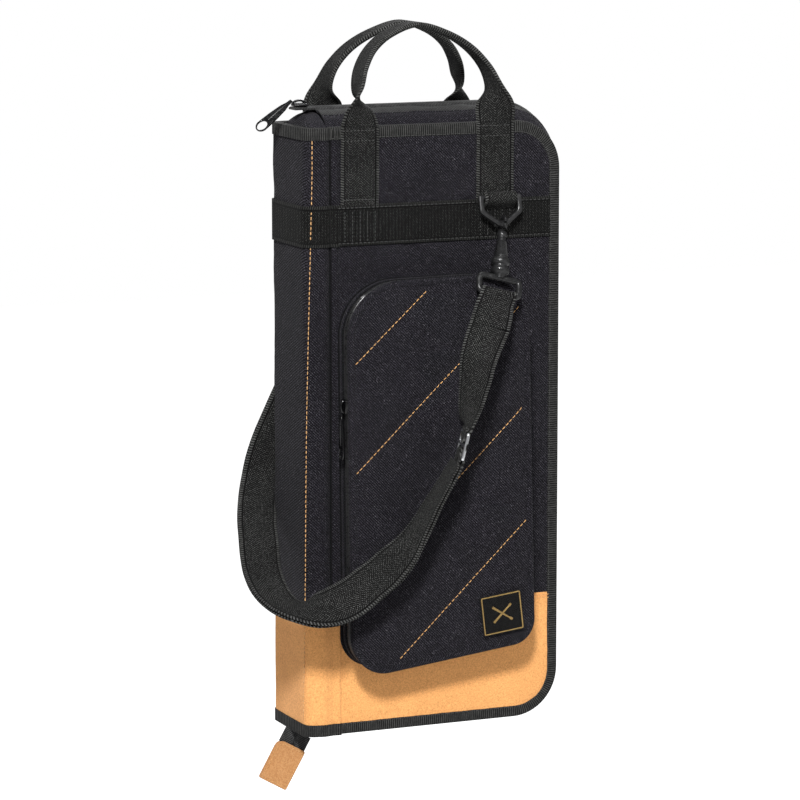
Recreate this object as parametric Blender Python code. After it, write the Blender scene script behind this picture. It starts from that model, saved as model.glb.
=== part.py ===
"""Drum stick bag: a padded case that opens like a book round its spine, with a zipped
front pocket, two webbing carry handles and a clip-on shoulder strap.

Metres, +Z up. X runs along the front cover away from the spine, and Y from the front
cover to the rear one. The origin is the point between the two handle grips that the
hanging bag is held by. Everything is modelled above the bag's bottom edge and then
lowered by GRIP_HEIGHT through one parent empty.
"""

from math import cos, pi, radians, sin

import bmesh
import bpy
from mathutils import Matrix, Vector

# --- driving dimensions of the case ---
GRIP_HEIGHT = 0.656  # handle grips above the bottom edge
BODY_WIDTH = 0.254
BODY_DEPTH = 0.085
BODY_HEIGHT = 0.566
CORNER_RADIUS = 0.045
FOLD_X = -0.1045  # the covers fold about vertical lines here, at their outer faces
SUEDE_TOP = 0.118
GAP = 0.0003  # clearance between pieces that touch

FABRIC = 0.002
BOARD = 0.006
LINING = 0.001
BINDING = 0.011  # width of the ribbed edge binding
BINDING_PROUD = 0.0007
WEBBING = 0.0015
WEBBING_WIDTH = 0.038
BAND_LOW = 0.457
BAND_TOP = BAND_LOW + WEBBING_WIDTH

# --- gusset and main zip, between the two covers ---
GUSSET = 0.0016
GUSSET_START = 0.0317  # half depth where it leaves the binding
ZIP_EDGE = 0.0080  # half width of the closed zip
DOME = 0.0145  # how far the gusset swells past the top edge
DOME_SIDE = 0.55  # share of the dome on the right side
DOME_BOTTOM = 0.2  # share of the dome along the bottom

# --- pocket on the front cover ---
POCKET_CORNERS = [(-0.0980, 0.4235), (0.0760, 0.4255), (0.0840, 0.0835), (-0.0940, 0.0620)]
POCKET_RADII = [0.050, 0.050, 0.020, 0.030]
POCKET_FACE = 0.0786  # half-depth coordinate of the pocket's outer face
POCKET_ZIP = 0.0606  # where its two halves part
POCKET_WALL = 0.002
POCKET_PAD = 0.0045

# --- handles ---
LEG_X = (-0.0765, 0.0595)
GRIP_WIDTH = 0.024
GRIP_THICKNESS = 0.0045

# --- strap fittings ---
FRONT_RING_X = 0.0617
REAR_RING_X = -0.0765
RING_BAR = 0.0025
RING_HALF = 0.0192
RING_SIDE = 0.0135
RING_DROP = 0.0262  # the rounded lowest point of the ring's bar
RING_POINT = 0.0290  # where its two lower bars would meet
RING_BENDS = [0.0028, 0.0028, 0.0028, 0.0100, 0.0028]
RING_TILT = radians(15.4)
RING_Z = 0.4965
RING_DEPTH = 0.0499
EYE_DOWN = 0.0626  # centre of the strap eye, down the hook's axis from the ring
EYE_HALF = 0.0195
EYE_BAR = 0.0027
# Each hook hangs in the direction that the strap pulls it; the front one clears the pocket.
FRONT_DROP = Vector((-0.28, -0.48, -0.83)).normalized()
REAR_DROP = Vector((-0.06, 0.03, -0.99)).normalized()

HALF_DEPTH = BODY_DEPTH / 2
RIGHT = BODY_WIDTH / 2
LEFT = -BODY_WIDTH / 2
FRONT, REAR = -1, 1


# --- scene, finishes and placing ---
def clear_scene():
    for item in list(bpy.data.objects):
        bpy.data.objects.remove(item, do_unlink=True)


def collection(name):
    made = bpy.data.collections.new(name)
    bpy.context.scene.collection.children.link(made)
    return made


def finish(name, colour, roughness, metallic=0.0):
    made = bpy.data.materials.new(name)
    made.use_nodes = True
    shader = made.node_tree.nodes["Principled BSDF"]
    shader.inputs["Base Color"].default_value = (*colour, 1)
    shader.inputs["Roughness"].default_value = roughness
    shader.inputs["Metallic"].default_value = metallic
    return made


clear_scene()
BAG = collection("drum_stick_bag")
CUTTERS = collection("cutters")
HANG_POINT = bpy.data.objects.new("hang_point", None)
BAG.objects.link(HANG_POINT)
BOTTOM = bpy.data.objects.new("bottom_edge", None)
BAG.objects.link(BOTTOM)
BOTTOM.parent = HANG_POINT
BOTTOM.location = (0, 0, -GRIP_HEIGHT)

CANVAS = (0.030, 0.030, 0.036)
SUEDE_TAN = (0.62, 0.34, 0.14)
WEB_BLACK = (0.022, 0.022, 0.024)
FOAM_GREY = (0.12, 0.12, 0.13)
LINING_GREY = (0.07, 0.07, 0.08)
PLASTIC_BLACK = (0.018, 0.018, 0.019)
STEEL_GREY = (0.42, 0.43, 0.45)
GOLD = (0.55, 0.40, 0.15)


def add(name, data, colour, roughness, metallic=0.0):
    """A named sub-part with its own finish, placed above the bag's bottom edge."""
    item = bpy.data.objects.new(name, data)
    data.materials.append(finish(name, colour, roughness, metallic))
    BAG.objects.link(item)
    item.parent = BOTTOM
    return item


# --- outlines ---
def arc(centre, radius, start, end, steps):
    """Stations round an arc, each a point and the outward direction there."""
    found = []
    for i in range(steps + 1):
        angle = start + (end - start) * i / steps
        outward = Vector((cos(angle), sin(angle)))
        found.append((Vector(centre) + outward * radius, outward))
    return found


def rounded(corners, radii, steps):
    """Stations round a closed convex outline, given clockwise from the top left corner."""
    found = []
    for i, corner in enumerate(corners):
        here = Vector(corner)
        before = (here - Vector(corners[i - 1])).normalized()
        after = (Vector(corners[(i + 1) % len(corners)]) - here).normalized()
        first, last = Vector((-before.y, before.x)), Vector((-after.y, after.x))
        middle = (first + last).normalized()
        centre = here - middle * radii[i] / middle.dot(first)
        start, turn = Vector((1, 0)).angle_signed(first), first.angle_signed(last)
        found += arc(centre, radii[i], -start, -start - turn, steps)
    return found


def moved(stations, offset):
    return [point + outward * offset for point, outward in stations]


def cover_stations(steps=7):
    """Round the free edges of a cover, from the fold along the top, down the right side and
    back along the bottom, with the share of the gusset's dome at each station."""
    inner = RIGHT - CORNER_RADIUS
    upper = arc((inner, BODY_HEIGHT - CORNER_RADIUS), CORNER_RADIUS, pi / 2, 0, steps)
    lower = arc((inner, CORNER_RADIUS), CORNER_RADIUS, 0, -pi / 2, steps)
    fold = FOLD_X + GAP
    path = [(Vector((fold, BODY_HEIGHT)), Vector((0, 1)), 1.0)]
    path += [(p, n, 1 + (DOME_SIDE - 1) * i / steps) for i, (p, n) in enumerate(upper)]
    path += [(p, n, DOME_SIDE + (DOME_BOTTOM - DOME_SIDE) * i / steps)
             for i, (p, n) in enumerate(lower)]
    path.append((Vector((fold, 0)), Vector((0, -1)), DOME_BOTTOM))
    return path


# --- solids ---
def loft(name, rings, colour, roughness, metallic=0.0, closed=False):
    """A solid whose skin runs through rings of points, capped at its ends or closed in a loop."""
    shape = bmesh.new()
    rows = [[shape.verts.new(p) for p in ring] for ring in rings]
    pairs = list(zip(rows, rows[1:]))
    if closed:
        pairs.append((rows[-1], rows[0]))
    else:
        shape.faces.new(rows[0])
        shape.faces.new(rows[-1])
    for near, far in pairs:
        for i in range(len(near)):
            j = (i + 1) % len(near)
            shape.faces.new((near[i], near[j], far[j], far[i]))
    bmesh.ops.recalc_face_normals(shape, faces=shape.faces)
    mesh = bpy.data.meshes.new(name)
    shape.to_mesh(mesh)
    shape.free()
    return add(name, mesh, colour, roughness, metallic)


def outline_curve(name, loops, thickness):
    """A flat 2D outline, with holes if there is more than one loop, of a given thickness."""
    curve = bpy.data.curves.new(name, "CURVE")
    curve.dimensions = "2D"
    curve.fill_mode = "BOTH"
    curve.extrude = thickness / 2
    for loop in loops:
        spline = curve.splines.new("POLY")
        spline.points.add(len(loop) - 1)
        for point, (x, y) in zip(spline.points, loop):
            point.co = (x, y, 0, 1)
        spline.use_cyclic_u = True
    return curve


def panel(name, loop, side, outer, thickness, colour, roughness):
    """An upright panel parallel to the covers, its outer face at half depth outer."""
    item = add(name, outline_curve(name, [loop], thickness), colour, roughness)
    item.rotation_euler = (pi / 2, 0, 0)
    item.location.y = side * (outer - thickness / 2)
    return item


def rectangle(x0, x1, z0, z1):
    return [(x0, z0), (x1, z0), (x1, z1), (x0, z1)]


def rim(name, path, profile, side, colour, roughness, closed=False):
    """A strip that follows an outline. Its profile is a list of (offset out of the outline,
    share of the dome, half depth)."""
    rings = []
    for point, outward, dome in path:
        ring = []
        for offset, share, depth in profile:
            at = point + outward * (offset + share * dome * DOME)
            ring.append((at.x, side * depth, at.y))
        rings.append(ring)
    return loft(name, rings, colour, roughness, closed=closed)


def channel(name, inset, thickness, z0, z1, colour, roughness):
    """A length of the spine's U section: its wall and the rolls that turn on to both faces."""
    reach, edge, bend, steps = FOLD_X - GAP, HALF_DEPTH, 0.008, 5
    outer = [(reach, -(edge - inset))]
    outer += moved(arc((LEFT + bend, -edge + bend), bend, -pi / 2, -pi, steps), -inset)
    outer += moved(arc((LEFT + bend, edge - bend), bend, pi, pi / 2, steps), -inset)
    outer.append((reach, edge - inset))
    deep = inset + thickness
    tight = max(bend - deep, 0.0005)
    corner = deep + tight
    inner = [(reach, edge - deep)]
    inner += moved(arc((LEFT + corner, edge - corner), tight, pi / 2, pi, steps), 0)
    inner += moved(arc((LEFT + corner, -edge + corner), tight, pi, 3 * pi / 2, steps), 0)
    inner.append((reach, -(edge - deep)))
    curve = outline_curve(name, [[tuple(p) for p in outer + inner]], z1 - z0)
    item = add(name, curve, colour, roughness)
    item.location.z = (z0 + z1) / 2
    return item


def smooth(values, steps):
    """Catmull-Rom points through a list of vectors, steps of them from each one to the next."""
    ends = [values[0] * 2 - values[1], *values, values[-1] * 2 - values[-2]]
    found = []
    for a, b, c, d in zip(ends, ends[1:], ends[2:], ends[3:]):
        for i in range(steps):
            t = i / steps
            found.append(0.5 * (2 * b + (c - a) * t + (2 * a - 5 * b + 4 * c - d) * t * t
                                + (3 * b - a - 3 * c + d) * t ** 3))
    return found + [values[-1]]


def ribbon_rings(route, steps):
    """Sections of webbing along a route of (point, direction across, width, thickness)."""
    line = smooth([Vector(r[0]) for r in route], steps)
    across = smooth([Vector(r[1]) for r in route], steps)
    sizes = smooth([Vector((r[2], r[3])) for r in route], steps)
    rings = []
    for i, centre in enumerate(line):
        along = (line[min(i + 1, len(line) - 1)] - line[max(i - 1, 0)]).normalized()
        side = (across[i] - along * across[i].dot(along)).normalized()
        up = along.cross(side)
        a, b = side * sizes[i].x / 2, up * sizes[i].y / 2
        rings.append([centre - a - b, centre + a - b, centre + a + b, centre - a + b])
    return rings


def ribbon(name, route, steps, colour, roughness):
    return loft(name, ribbon_rings(route, steps), colour, roughness)


def round_bar(name, stations, sides, colour, roughness, guide=Vector((1, 0, 0))):
    """A bar of round section through a list of (point, radius), in a plane across guide."""
    line = [Vector(p) for p, _ in stations]
    rings = []
    for i, (_, radius) in enumerate(stations):
        along = (line[min(i + 1, len(line) - 1)] - line[max(i - 1, 0)]).normalized()
        side = (guide - along * guide.dot(along)).normalized()
        up = along.cross(side)
        turns = [2 * pi * k / sides for k in range(sides)]
        rings.append([line[i] + (side * cos(t) + up * sin(t)) * radius for t in turns])
    return loft(name, rings, colour, roughness)


def filleted(points, radii, steps):
    """A closed line of 3D points with each corner rounded."""
    found = []
    for i, (corner, radius) in enumerate(zip(points, radii)):
        here = Vector(corner)
        back = (Vector(points[i - 1]) - here).normalized()
        on = (Vector(points[(i + 1) % len(points)]) - here).normalized()
        start, end = here + back * radius, here + on * radius
        for k in range(steps + 1):
            t = k / steps
            found.append(start * (1 - t) ** 2 + here * 2 * t * (1 - t) + end * t * t)
    return found


def loop_curve(name, line, radius):
    curve = bpy.data.curves.new(name, "CURVE")
    curve.dimensions = "3D"
    curve.bevel_depth = radius
    curve.bevel_resolution = 2
    spline = curve.splines.new("POLY")
    spline.points.add(len(line) - 1)
    for point, at in zip(spline.points, line):
        point.co = (*at, 1)
    spline.use_cyclic_u = True
    return curve


def as_mesh(item):
    """The same object with its curve turned into a mesh, so that it can be joined."""
    view = bpy.context.evaluated_depsgraph_get()
    view.update()
    mesh = bpy.data.meshes.new_from_object(item.evaluated_get(view))
    shape = bmesh.new()
    shape.from_mesh(mesh)
    bmesh.ops.remove_doubles(shape, verts=shape.verts, dist=0.000001)
    bmesh.ops.recalc_face_normals(shape, faces=shape.faces)
    shape.to_mesh(mesh)
    shape.free()
    made = bpy.data.objects.new("made", mesh)
    for group in item.users_collection:
        group.objects.link(made)
    made.parent = item.parent
    made.location, made.rotation_euler = item.location, item.rotation_euler
    name = item.name
    bpy.data.objects.remove(item, do_unlink=True)
    made.name = name
    return made


def joined(item, *others):
    """Unites item with others, which stay behind as hidden tools."""
    for other in others:
        BAG.objects.unlink(other)
        CUTTERS.objects.link(other)
        other.hide_render = True
        other.display_type = "WIRE"
        union = item.modifiers.new("union", "BOOLEAN")
        union.operation = "UNION"
        union.object = other
    return item


# --- covers ---
def cover_loop(inset, z0, z1):
    """A cover panel's outline between two heights, inset from its free edges."""
    inner, fold = RIGHT - CORNER_RADIUS, FOLD_X + GAP
    loop = [(fold, z0)]
    if z0 < CORNER_RADIUS:
        loop += moved(arc((inner, CORNER_RADIUS), CORNER_RADIUS, -pi / 2, 0, 7), -inset)
    else:
        loop.append((RIGHT - inset, z0))
    if z1 > BODY_HEIGHT - CORNER_RADIUS:
        upper = (inner, BODY_HEIGHT - CORNER_RADIUS)
        loop += moved(arc(upper, CORNER_RADIUS, 0, pi / 2, 7), -inset)
    else:
        loop.append((RIGHT - inset, z1))
    return [tuple(p) for p in loop] + [(fold, z1)]


def cover(label, side):
    edge = BINDING + GAP
    top, low = BODY_HEIGHT - edge, edge
    panel(f"{label}_fabric", cover_loop(edge, SUEDE_TOP + GAP, top), side, HALF_DEPTH, FABRIC,
          CANVAS, 0.9)
    panel(f"{label}_suede", cover_loop(edge, low, SUEDE_TOP), side, HALF_DEPTH, FABRIC,
          SUEDE_TAN, 0.95)
    board = HALF_DEPTH - FABRIC - GAP
    panel(f"{label}_board", cover_loop(edge, low, top), side, board, BOARD, FOAM_GREY, 0.95)
    lining = board - BOARD - GAP
    panel(f"{label}_lining", cover_loop(edge, low, top), side, lining, LINING, LINING_GREY, 0.8)
    out, back = HALF_DEPTH + BINDING_PROUD, GUSSET_START + GAP
    bind = [(-BINDING, 0, out), (-0.001, 0, out), (0, 0, out - 0.001), (0, 0, back + 0.001),
            (-0.001, 0, back), (-BINDING, 0, back)]
    rim(f"{label}_binding", cover_stations(), bind, side, WEB_BLACK, 0.85)
    cloth = [(-0.001, 0, GUSSET_START), (-0.001, 0.62, 0.022), (-0.001, 1, ZIP_EDGE + GAP)]
    under = [(o - GUSSET, share, depth) for o, share, depth in reversed(cloth)]
    rim(f"{label}_gusset", cover_stations(), cloth + under, side, CANVAS, 0.9)
    tape = [(-0.0007, 1, ZIP_EDGE), (0.0008, 1.08, 0.0035), (0.0008, 1.08, GAP / 2),
            (-0.0014, 1.08, GAP / 2), (-0.0022, 1, ZIP_EDGE)]
    rim(f"{label}_zip_tape", cover_stations(), tape, side, WEB_BLACK, 0.7)
    panel(f"{label}_band", rectangle(FOLD_X + GAP, RIGHT - edge, BAND_LOW, BAND_TOP), side,
          HALF_DEPTH + GAP + WEBBING, WEBBING, WEB_BLACK, 0.8)
    leg = HALF_DEPTH + BINDING_PROUD + GAP + WEBBING
    for part, x in zip(("spine_side", "free_side"), LEG_X):
        strip = rectangle(x - WEBBING_WIDTH / 2, x + WEBBING_WIDTH / 2, BAND_TOP + GAP,
                          BODY_HEIGHT - GAP)
        panel(f"{label}_handle_leg_{part}", strip, side, leg, WEBBING, WEB_BLACK, 0.8)


SLEEVE_LEFT, SLEEVE_RIGHT = -0.088, 0.104
SLEEVE_LOW, SLEEVE_TOP = 0.030, 0.330
SLEEVE_SHEET = 0.0012
CHANNELS = 3


def stick_sleeve(label, side, depth):
    """The sheet inside a cover that forms the stick channels: sewn flat to the lining at its
    seams and its foot, and standing off it between them."""
    wall = HALF_DEPTH - FABRIC - BOARD - LINING - 3 * GAP
    pitch = (SLEEVE_RIGHT - SLEEVE_LEFT) / CHANNELS
    line = [(SLEEVE_LEFT, 0)]
    for i in range(CHANNELS):
        x = SLEEVE_LEFT + pitch * i
        line += [(x + 0.004, 0), (x + 0.009, 1), (x + pitch - 0.009, 1), (x + pitch - 0.004, 0)]
    line.append((SLEEVE_RIGHT, 0))
    rings = []
    for z, share in ((SLEEVE_LOW, 0), (SLEEVE_LOW + 0.006, 0), (SLEEVE_LOW + 0.022, 1),
                     (SLEEVE_TOP, 1)):
        near = [(x, side * (wall - h * share * depth), z) for x, h in line]
        far = [(x, side * (wall - SLEEVE_SHEET - h * share * depth), z) for x, h in line]
        rings.append(near + far[::-1])
    loft(f"{label}_stick_sleeve", rings, LINING_GREY, 0.85)


# --- spine ---
def spine():
    edge = BINDING + GAP
    top = BODY_HEIGHT - edge
    channel("spine_fabric", 0, FABRIC, SUEDE_TOP + GAP, top, CANVAS, 0.9)
    channel("spine_suede", 0, FABRIC, edge, SUEDE_TOP, SUEDE_TAN, 0.95)
    channel("spine_board", FABRIC + GAP, BOARD, edge, top, FOAM_GREY, 0.95)
    channel("spine_band", -(GAP + WEBBING), WEBBING, BAND_LOW, BAND_TOP, WEB_BLACK, 0.8)
    for part, z0 in (("top", BODY_HEIGHT - BINDING), ("bottom", 0)):
        channel(f"spine_binding_{part}", -BINDING_PROUD, BINDING - BINDING_PROUD, z0,
                z0 + BINDING, WEB_BLACK, 0.85)
    wall = LEFT + BINDING - BINDING_PROUD + GAP
    half = HALF_DEPTH - BINDING + BINDING_PROUD - GAP
    for part, base, up in (("top", BODY_HEIGHT - 0.004, 1), ("bottom", 0.004, -DOME_BOTTOM)):
        rings = []
        for x, rise in ((wall, 0.35), (wall + 0.004, 0.75), (FOLD_X - GAP, 1)):
            shape = [(-half, 0), (-0.020, 0.62), (-0.007, 0.9), (0.007, 0.9), (0.020, 0.62),
                     (half, 0)]
            near = [(x, y, base + up * h * rise * DOME) for y, h in shape]
            far = [(x, y, base + up * h * rise * DOME - 0.002 * (1 if up > 0 else -1))
                   for y, h in shape]
            rings.append(near + far[::-1])
        loft(f"spine_gusset_{part}", rings, CANVAS, 0.9)


# --- pocket ---
def pocket():
    path = [(p, n, 0) for p, n in rounded(POCKET_CORNERS, POCKET_RADII, 6)]
    back, split = HALF_DEPTH + GAP, POCKET_ZIP
    face = POCKET_FACE - POCKET_PAD - GAP

    def wall(near, far):
        return [(0, 0, near), (0, 0, far), (-POCKET_WALL, 0, far), (-POCKET_WALL, 0, near)]

    rim("pocket_gusset", path, wall(back, split - GAP / 2), FRONT, CANVAS, 0.9, closed=True)
    rim("pocket_rim", path, wall(split + GAP / 2, face), FRONT, CANVAS, 0.9, closed=True)
    outline = [(p.x, p.y) for p, n, _ in path]
    panel("pocket_panel", outline, FRONT, POCKET_FACE, POCKET_PAD, CANVAS, 0.9)
    low, high, left, right, lift = 0.0885, 0.1270, 0.0305, 0.0725, 0.0050
    label = [(left, low), (right, low + lift), (right, high + lift), (left, high)]
    panel("pocket_label", label, FRONT, POCKET_FACE + GAP + 0.0008, 0.0008, GOLD, 0.6)


# --- zip sliders and pulls ---
SLIDER_LENGTH, SLIDER_WIDTH, SLIDER_PLATE = 0.013, 0.0125, 0.0022
CROWN = 0.0012


def slider(name, at, along, up):
    """A slider's top plate, wide where the two tapes enter it, with the crown that holds the
    pull. along is its line of travel and up stands off the zip."""
    side = along.cross(up)
    half, wide, narrow = SLIDER_LENGTH / 2, SLIDER_WIDTH / 2, 0.0042
    shape = [(-half, -narrow), (0.001, -wide), (half, -wide), (half, wide), (0.001, wide),
             (-half, narrow)]
    rings = []
    for height in (0, SLIDER_PLATE):
        rings.append([at + along * a + side * b + up * height for a, b in shape])
    body = loft(name, rings, PLASTIC_BLACK, 0.3)
    arch = [(-0.0052, 0.0010), (-0.0052, 0.0038), (-0.0035, 0.0056), (0, 0.0062),
            (0.0035, 0.0056), (0.0052, 0.0038), (0.0052, 0.0010)]
    line = [at + along * a + up * h for a, h in arch]
    crown = round_bar(f"{name}_crown", [(p, CROWN) for p in line], 8, PLASTIC_BLACK, 0.3, side)
    return joined(body, crown)


PULL_LENGTH, PULL_THICKNESS = 0.043, 0.0020


def pull_outline():
    """A moulded pull: an eye at the slider, a tab that widens, and an open ring at its end."""
    tab = [(0, 0.0022), (0.004, 0.0030), (0.024, 0.0048), (0.030, 0.0052)]
    ring = arc((PULL_LENGTH - 0.0062, 0), 0.0062, radians(70), radians(-70), 6)
    top = tab + [tuple(p) for p, _ in ring] + [(x, -y) for x, y in reversed(tab)]
    hole = arc((PULL_LENGTH - 0.0066, 0), 0.0040, 0, 2 * pi, 10)[:-1]
    return [top, [tuple(p) for p, _ in hole]]


def pull(name, pivot, along, flat):
    """A pull whose tab runs from its pivot; flat is the direction across its face."""
    item = add(name, outline_curve(name, pull_outline(), PULL_THICKNESS), PLASTIC_BLACK, 0.35)
    turn = Matrix((along, flat, along.cross(flat))).transposed()
    item.rotation_euler = turn.to_euler()
    item.location = pivot
    return item


MAIN_ZIP_TOP = BODY_HEIGHT + 0.0008 + 1.08 * DOME
MAIN_SLIDER_X = -0.1180
MAIN_PULL_ANGLE = radians(37)
TAIL_END = -0.1250


def zips():
    """The two sliders and their pulls."""
    up, right = Vector((0, 0, 1)), Vector((1, 0, 0))
    at = Vector((MAIN_SLIDER_X, 0, MAIN_ZIP_TOP + GAP))
    slider("main_slider", at, right, up)
    pivot = Vector((MAIN_SLIDER_X - 0.0074, 0, MAIN_ZIP_TOP + 0.0058))
    away = Vector((-cos(MAIN_PULL_ANGLE), 0, -sin(MAIN_PULL_ANGLE)))
    pull("main_pull", pivot, away, Vector((0, 1, 0)))
    upper, lower = Vector(POCKET_CORNERS[0]), Vector(POCKET_CORNERS[3])
    rise = (upper - lower).normalized()
    along, out = Vector((rise.x, 0, rise.y)), Vector((-rise.y, 0, rise.x))
    start = lower + rise * 0.250
    place = Vector((start.x, -POCKET_ZIP, start.y)) + out * GAP
    slider("pocket_slider", place, along, out)
    pull("pocket_pull", place - along * 0.0074 + out * 0.0050, -along, Vector((0, 1, 0)))


def zip_tail():
    """The short end of the zip, on the spine, that carries the closed main slider."""
    low, high = MAIN_ZIP_TOP - 0.0022, MAIN_ZIP_TOP
    section = [(-ZIP_EDGE, low - 0.0008), (ZIP_EDGE, low - 0.0008), (ZIP_EDGE, high - 0.0012),
               (0.0035, high), (-0.0035, high), (-ZIP_EDGE, high - 0.0012)]
    rings = [[(x, y, z) for y, z in section] for x in (TAIL_END, FOLD_X - GAP)]
    loft("spine_zip_tail", rings, WEB_BLACK, 0.7)


# --- handles ---
HANDLE_ROUTE = [
    # x from the handle's middle, half depth, height, direction across, width share
    (-0.0680, 0.0442, 0.5663, (1, 0, 0), 1.0),
    (-0.0682, 0.0438, 0.5790, (0.92, 0.38, 0), 0.9),
    (-0.0678, 0.0405, 0.5980, (0.15, 1, 0), 0.55),
    (-0.0622, 0.0330, 0.6170, (0, 1, 0), 0.25),
    (-0.0490, 0.0245, 0.6345, (0, 1, 0), 0),
    (-0.0280, 0.0170, 0.6480, (0, 1, 0), 0),
    (0, 0.0140, 0.6560, (0, 1, 0), 0),
]


def handle(name, side):
    """A webbing loop that stands up from the top edge: flat and full width where it is sewn,
    then folded lengthwise into a narrow grip that leans over the bag's middle."""
    middle = sum(LEG_X) / 2
    half = []
    for x, depth, z, across, share in HANDLE_ROUTE:
        width = GRIP_WIDTH + (WEBBING_WIDTH - GRIP_WIDTH) * share
        thick = GRIP_THICKNESS + (WEBBING - GRIP_THICKNESS) * share
        edge = Vector((across[0], -side * across[1], 0))
        half.append((x, side * depth, z, edge, width, thick))
    route = [((middle + x, y, z), edge, w, t) for x, y, z, edge, w, t in half]
    for x, y, z, edge, w, t in reversed(half[:-1]):
        route.append(((middle - x, y, z), Vector((-edge.x, edge.y, 0)), w, t))
    ribbon(name, route, 3, WEB_BLACK, 0.8)


# --- strap fittings ---
def hanging_frame(side, x, drop):
    """Points on a fitting that hangs from the lowest point of its ring: dx along the eye's bar,
    ahead out of the bag, and down the hook's axis."""
    lowest = Vector((x, side * (RING_DEPTH + RING_DROP * sin(RING_TILT)),
                     RING_Z - RING_DROP * cos(RING_TILT)))
    wide = (Vector((1, 0, 0)) - drop * drop.x).normalized()
    ahead = drop.cross(wide)
    if ahead.y * side < 0:
        ahead = -ahead

    def at(dx, forward, down):
        return lowest + wide * dx + ahead * forward + drop * down

    return at, wide


def ring_and_tab(label, side, x):
    """A webbing tab sewn to the band, and the ring that swings in it."""
    def at(dx, depth, z):
        return Vector((x + dx, side * depth, z))

    turns = [2 * pi * k / 12 for k in range(12)]
    section = [(0.0030, -0.016), (0.0046, -0.016), (0.0046, 0.016), (0.0030, 0.016)]
    rings = [[at(w, RING_DEPTH + r * cos(t), RING_Z + r * sin(t)) for r, w in section]
             for t in turns]
    loft(f"{label}_ring_tab", rings, WEB_BLACK, 0.8, closed=True)
    house = [(-RING_HALF, 0), (RING_HALF, 0), (RING_HALF, RING_SIDE), (0, RING_POINT),
             (-RING_HALF, RING_SIDE)]
    corners = [at(dx, RING_DEPTH + d * sin(RING_TILT), RING_Z - d * cos(RING_TILT))
               for dx, d in house]
    ring = loop_curve(f"{label}_ring", filleted(corners, RING_BENDS, 4), RING_BAR)
    add(f"{label}_ring", ring, PLASTIC_BLACK, 0.45)


def hook_and_gate(label, at):
    """The snap hook: its wire goes up behind the ring's lowest bar and comes down in front,
    where the sprung gate closes it."""
    wire, reach, centre = 0.0023, 0.0070, 0.0002
    stations = [(at(0, 0, 0.0345), 0.0060), (at(0, 0, 0.0231), 0.0064),
                (at(0, 0, 0.0126), 0.0050), (at(0, 0, 0.0119), 0.0060),
                (at(0, 0, 0.0082), 0.0058), (at(0, -0.0008, 0.0076), 0.0042),
                (at(0, -0.0034, 0.0062), 0.0028), (at(0, -0.0062, 0.0040), wire)]
    for k in range(9):
        turn = pi * k / 8
        stations.append((at(0, -reach * cos(turn), centre - reach * sin(turn)), wire))
    round_bar(f"{label}_hook", stations, 10, PLASTIC_BLACK, 0.4)
    gate = [(at(0, reach, 0.0066), 0.0019), (at(0, reach, 0.0022), 0.0019)]
    round_bar(f"{label}_hook_gate", gate, 8, PLASTIC_BLACK, 0.4)


def strap_eye(label, at):
    """A barrel that turns under the hook, over a loop that the strap is sewn round."""
    barrel = [(0.0349, 0.0070), (0.0366, 0.0088), (0.0416, 0.0088), (0.0426, 0.0076),
              (0.0446, 0.0076), (0.0456, 0.0088), (0.0496, 0.0088), (0.0526, 0.0060),
              (0.0561, 0.0045)]
    body = round_bar(f"{label}_eye", [(at(0, 0, s), r) for s, r in barrel], 12,
                     PLASTIC_BLACK, 0.4)
    high, low = EYE_DOWN - 0.0075, EYE_DOWN + 0.0085
    corners = [(-EYE_HALF, high), (EYE_HALF, high), (EYE_HALF, low), (-EYE_HALF, low)]
    frame = filleted([at(dx, 0, s) for dx, s in corners], [0.004] * 4, 3)
    loop = add(f"{label}_eye_loop", loop_curve("eye_loop", frame, EYE_BAR), PLASTIC_BLACK, 0.4)
    joined(body, as_mesh(loop))


def fitting(label, side, x, drop):
    ring_and_tab(label, side, x)
    at, _ = hanging_frame(side, x, drop)
    hook_and_gate(label, at)
    strap_eye(label, at)


# --- shoulder strap ---
STRAP = 0.0015
DOUBLED = 0.0045
FRONT_SINGLE = [
    ((0.0290, -0.1000, 0.3840), (0.66, -0.66, -0.20)),
    ((0.0235, -0.1020, 0.3735), (0.50, -0.80, -0.14)),
    ((0.0162, -0.1050, 0.3570), (0.34, -0.88, -0.08)),
    ((0.0108, -0.1080, 0.3360), (0.12, -0.95, -0.01)),
    ((0.0053, -0.1095, 0.3110), (0.01, -0.97, 0.02)),
    ((0.0020, -0.1100, 0.2945), (-0.04, -0.97, 0.04)),
]
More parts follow.
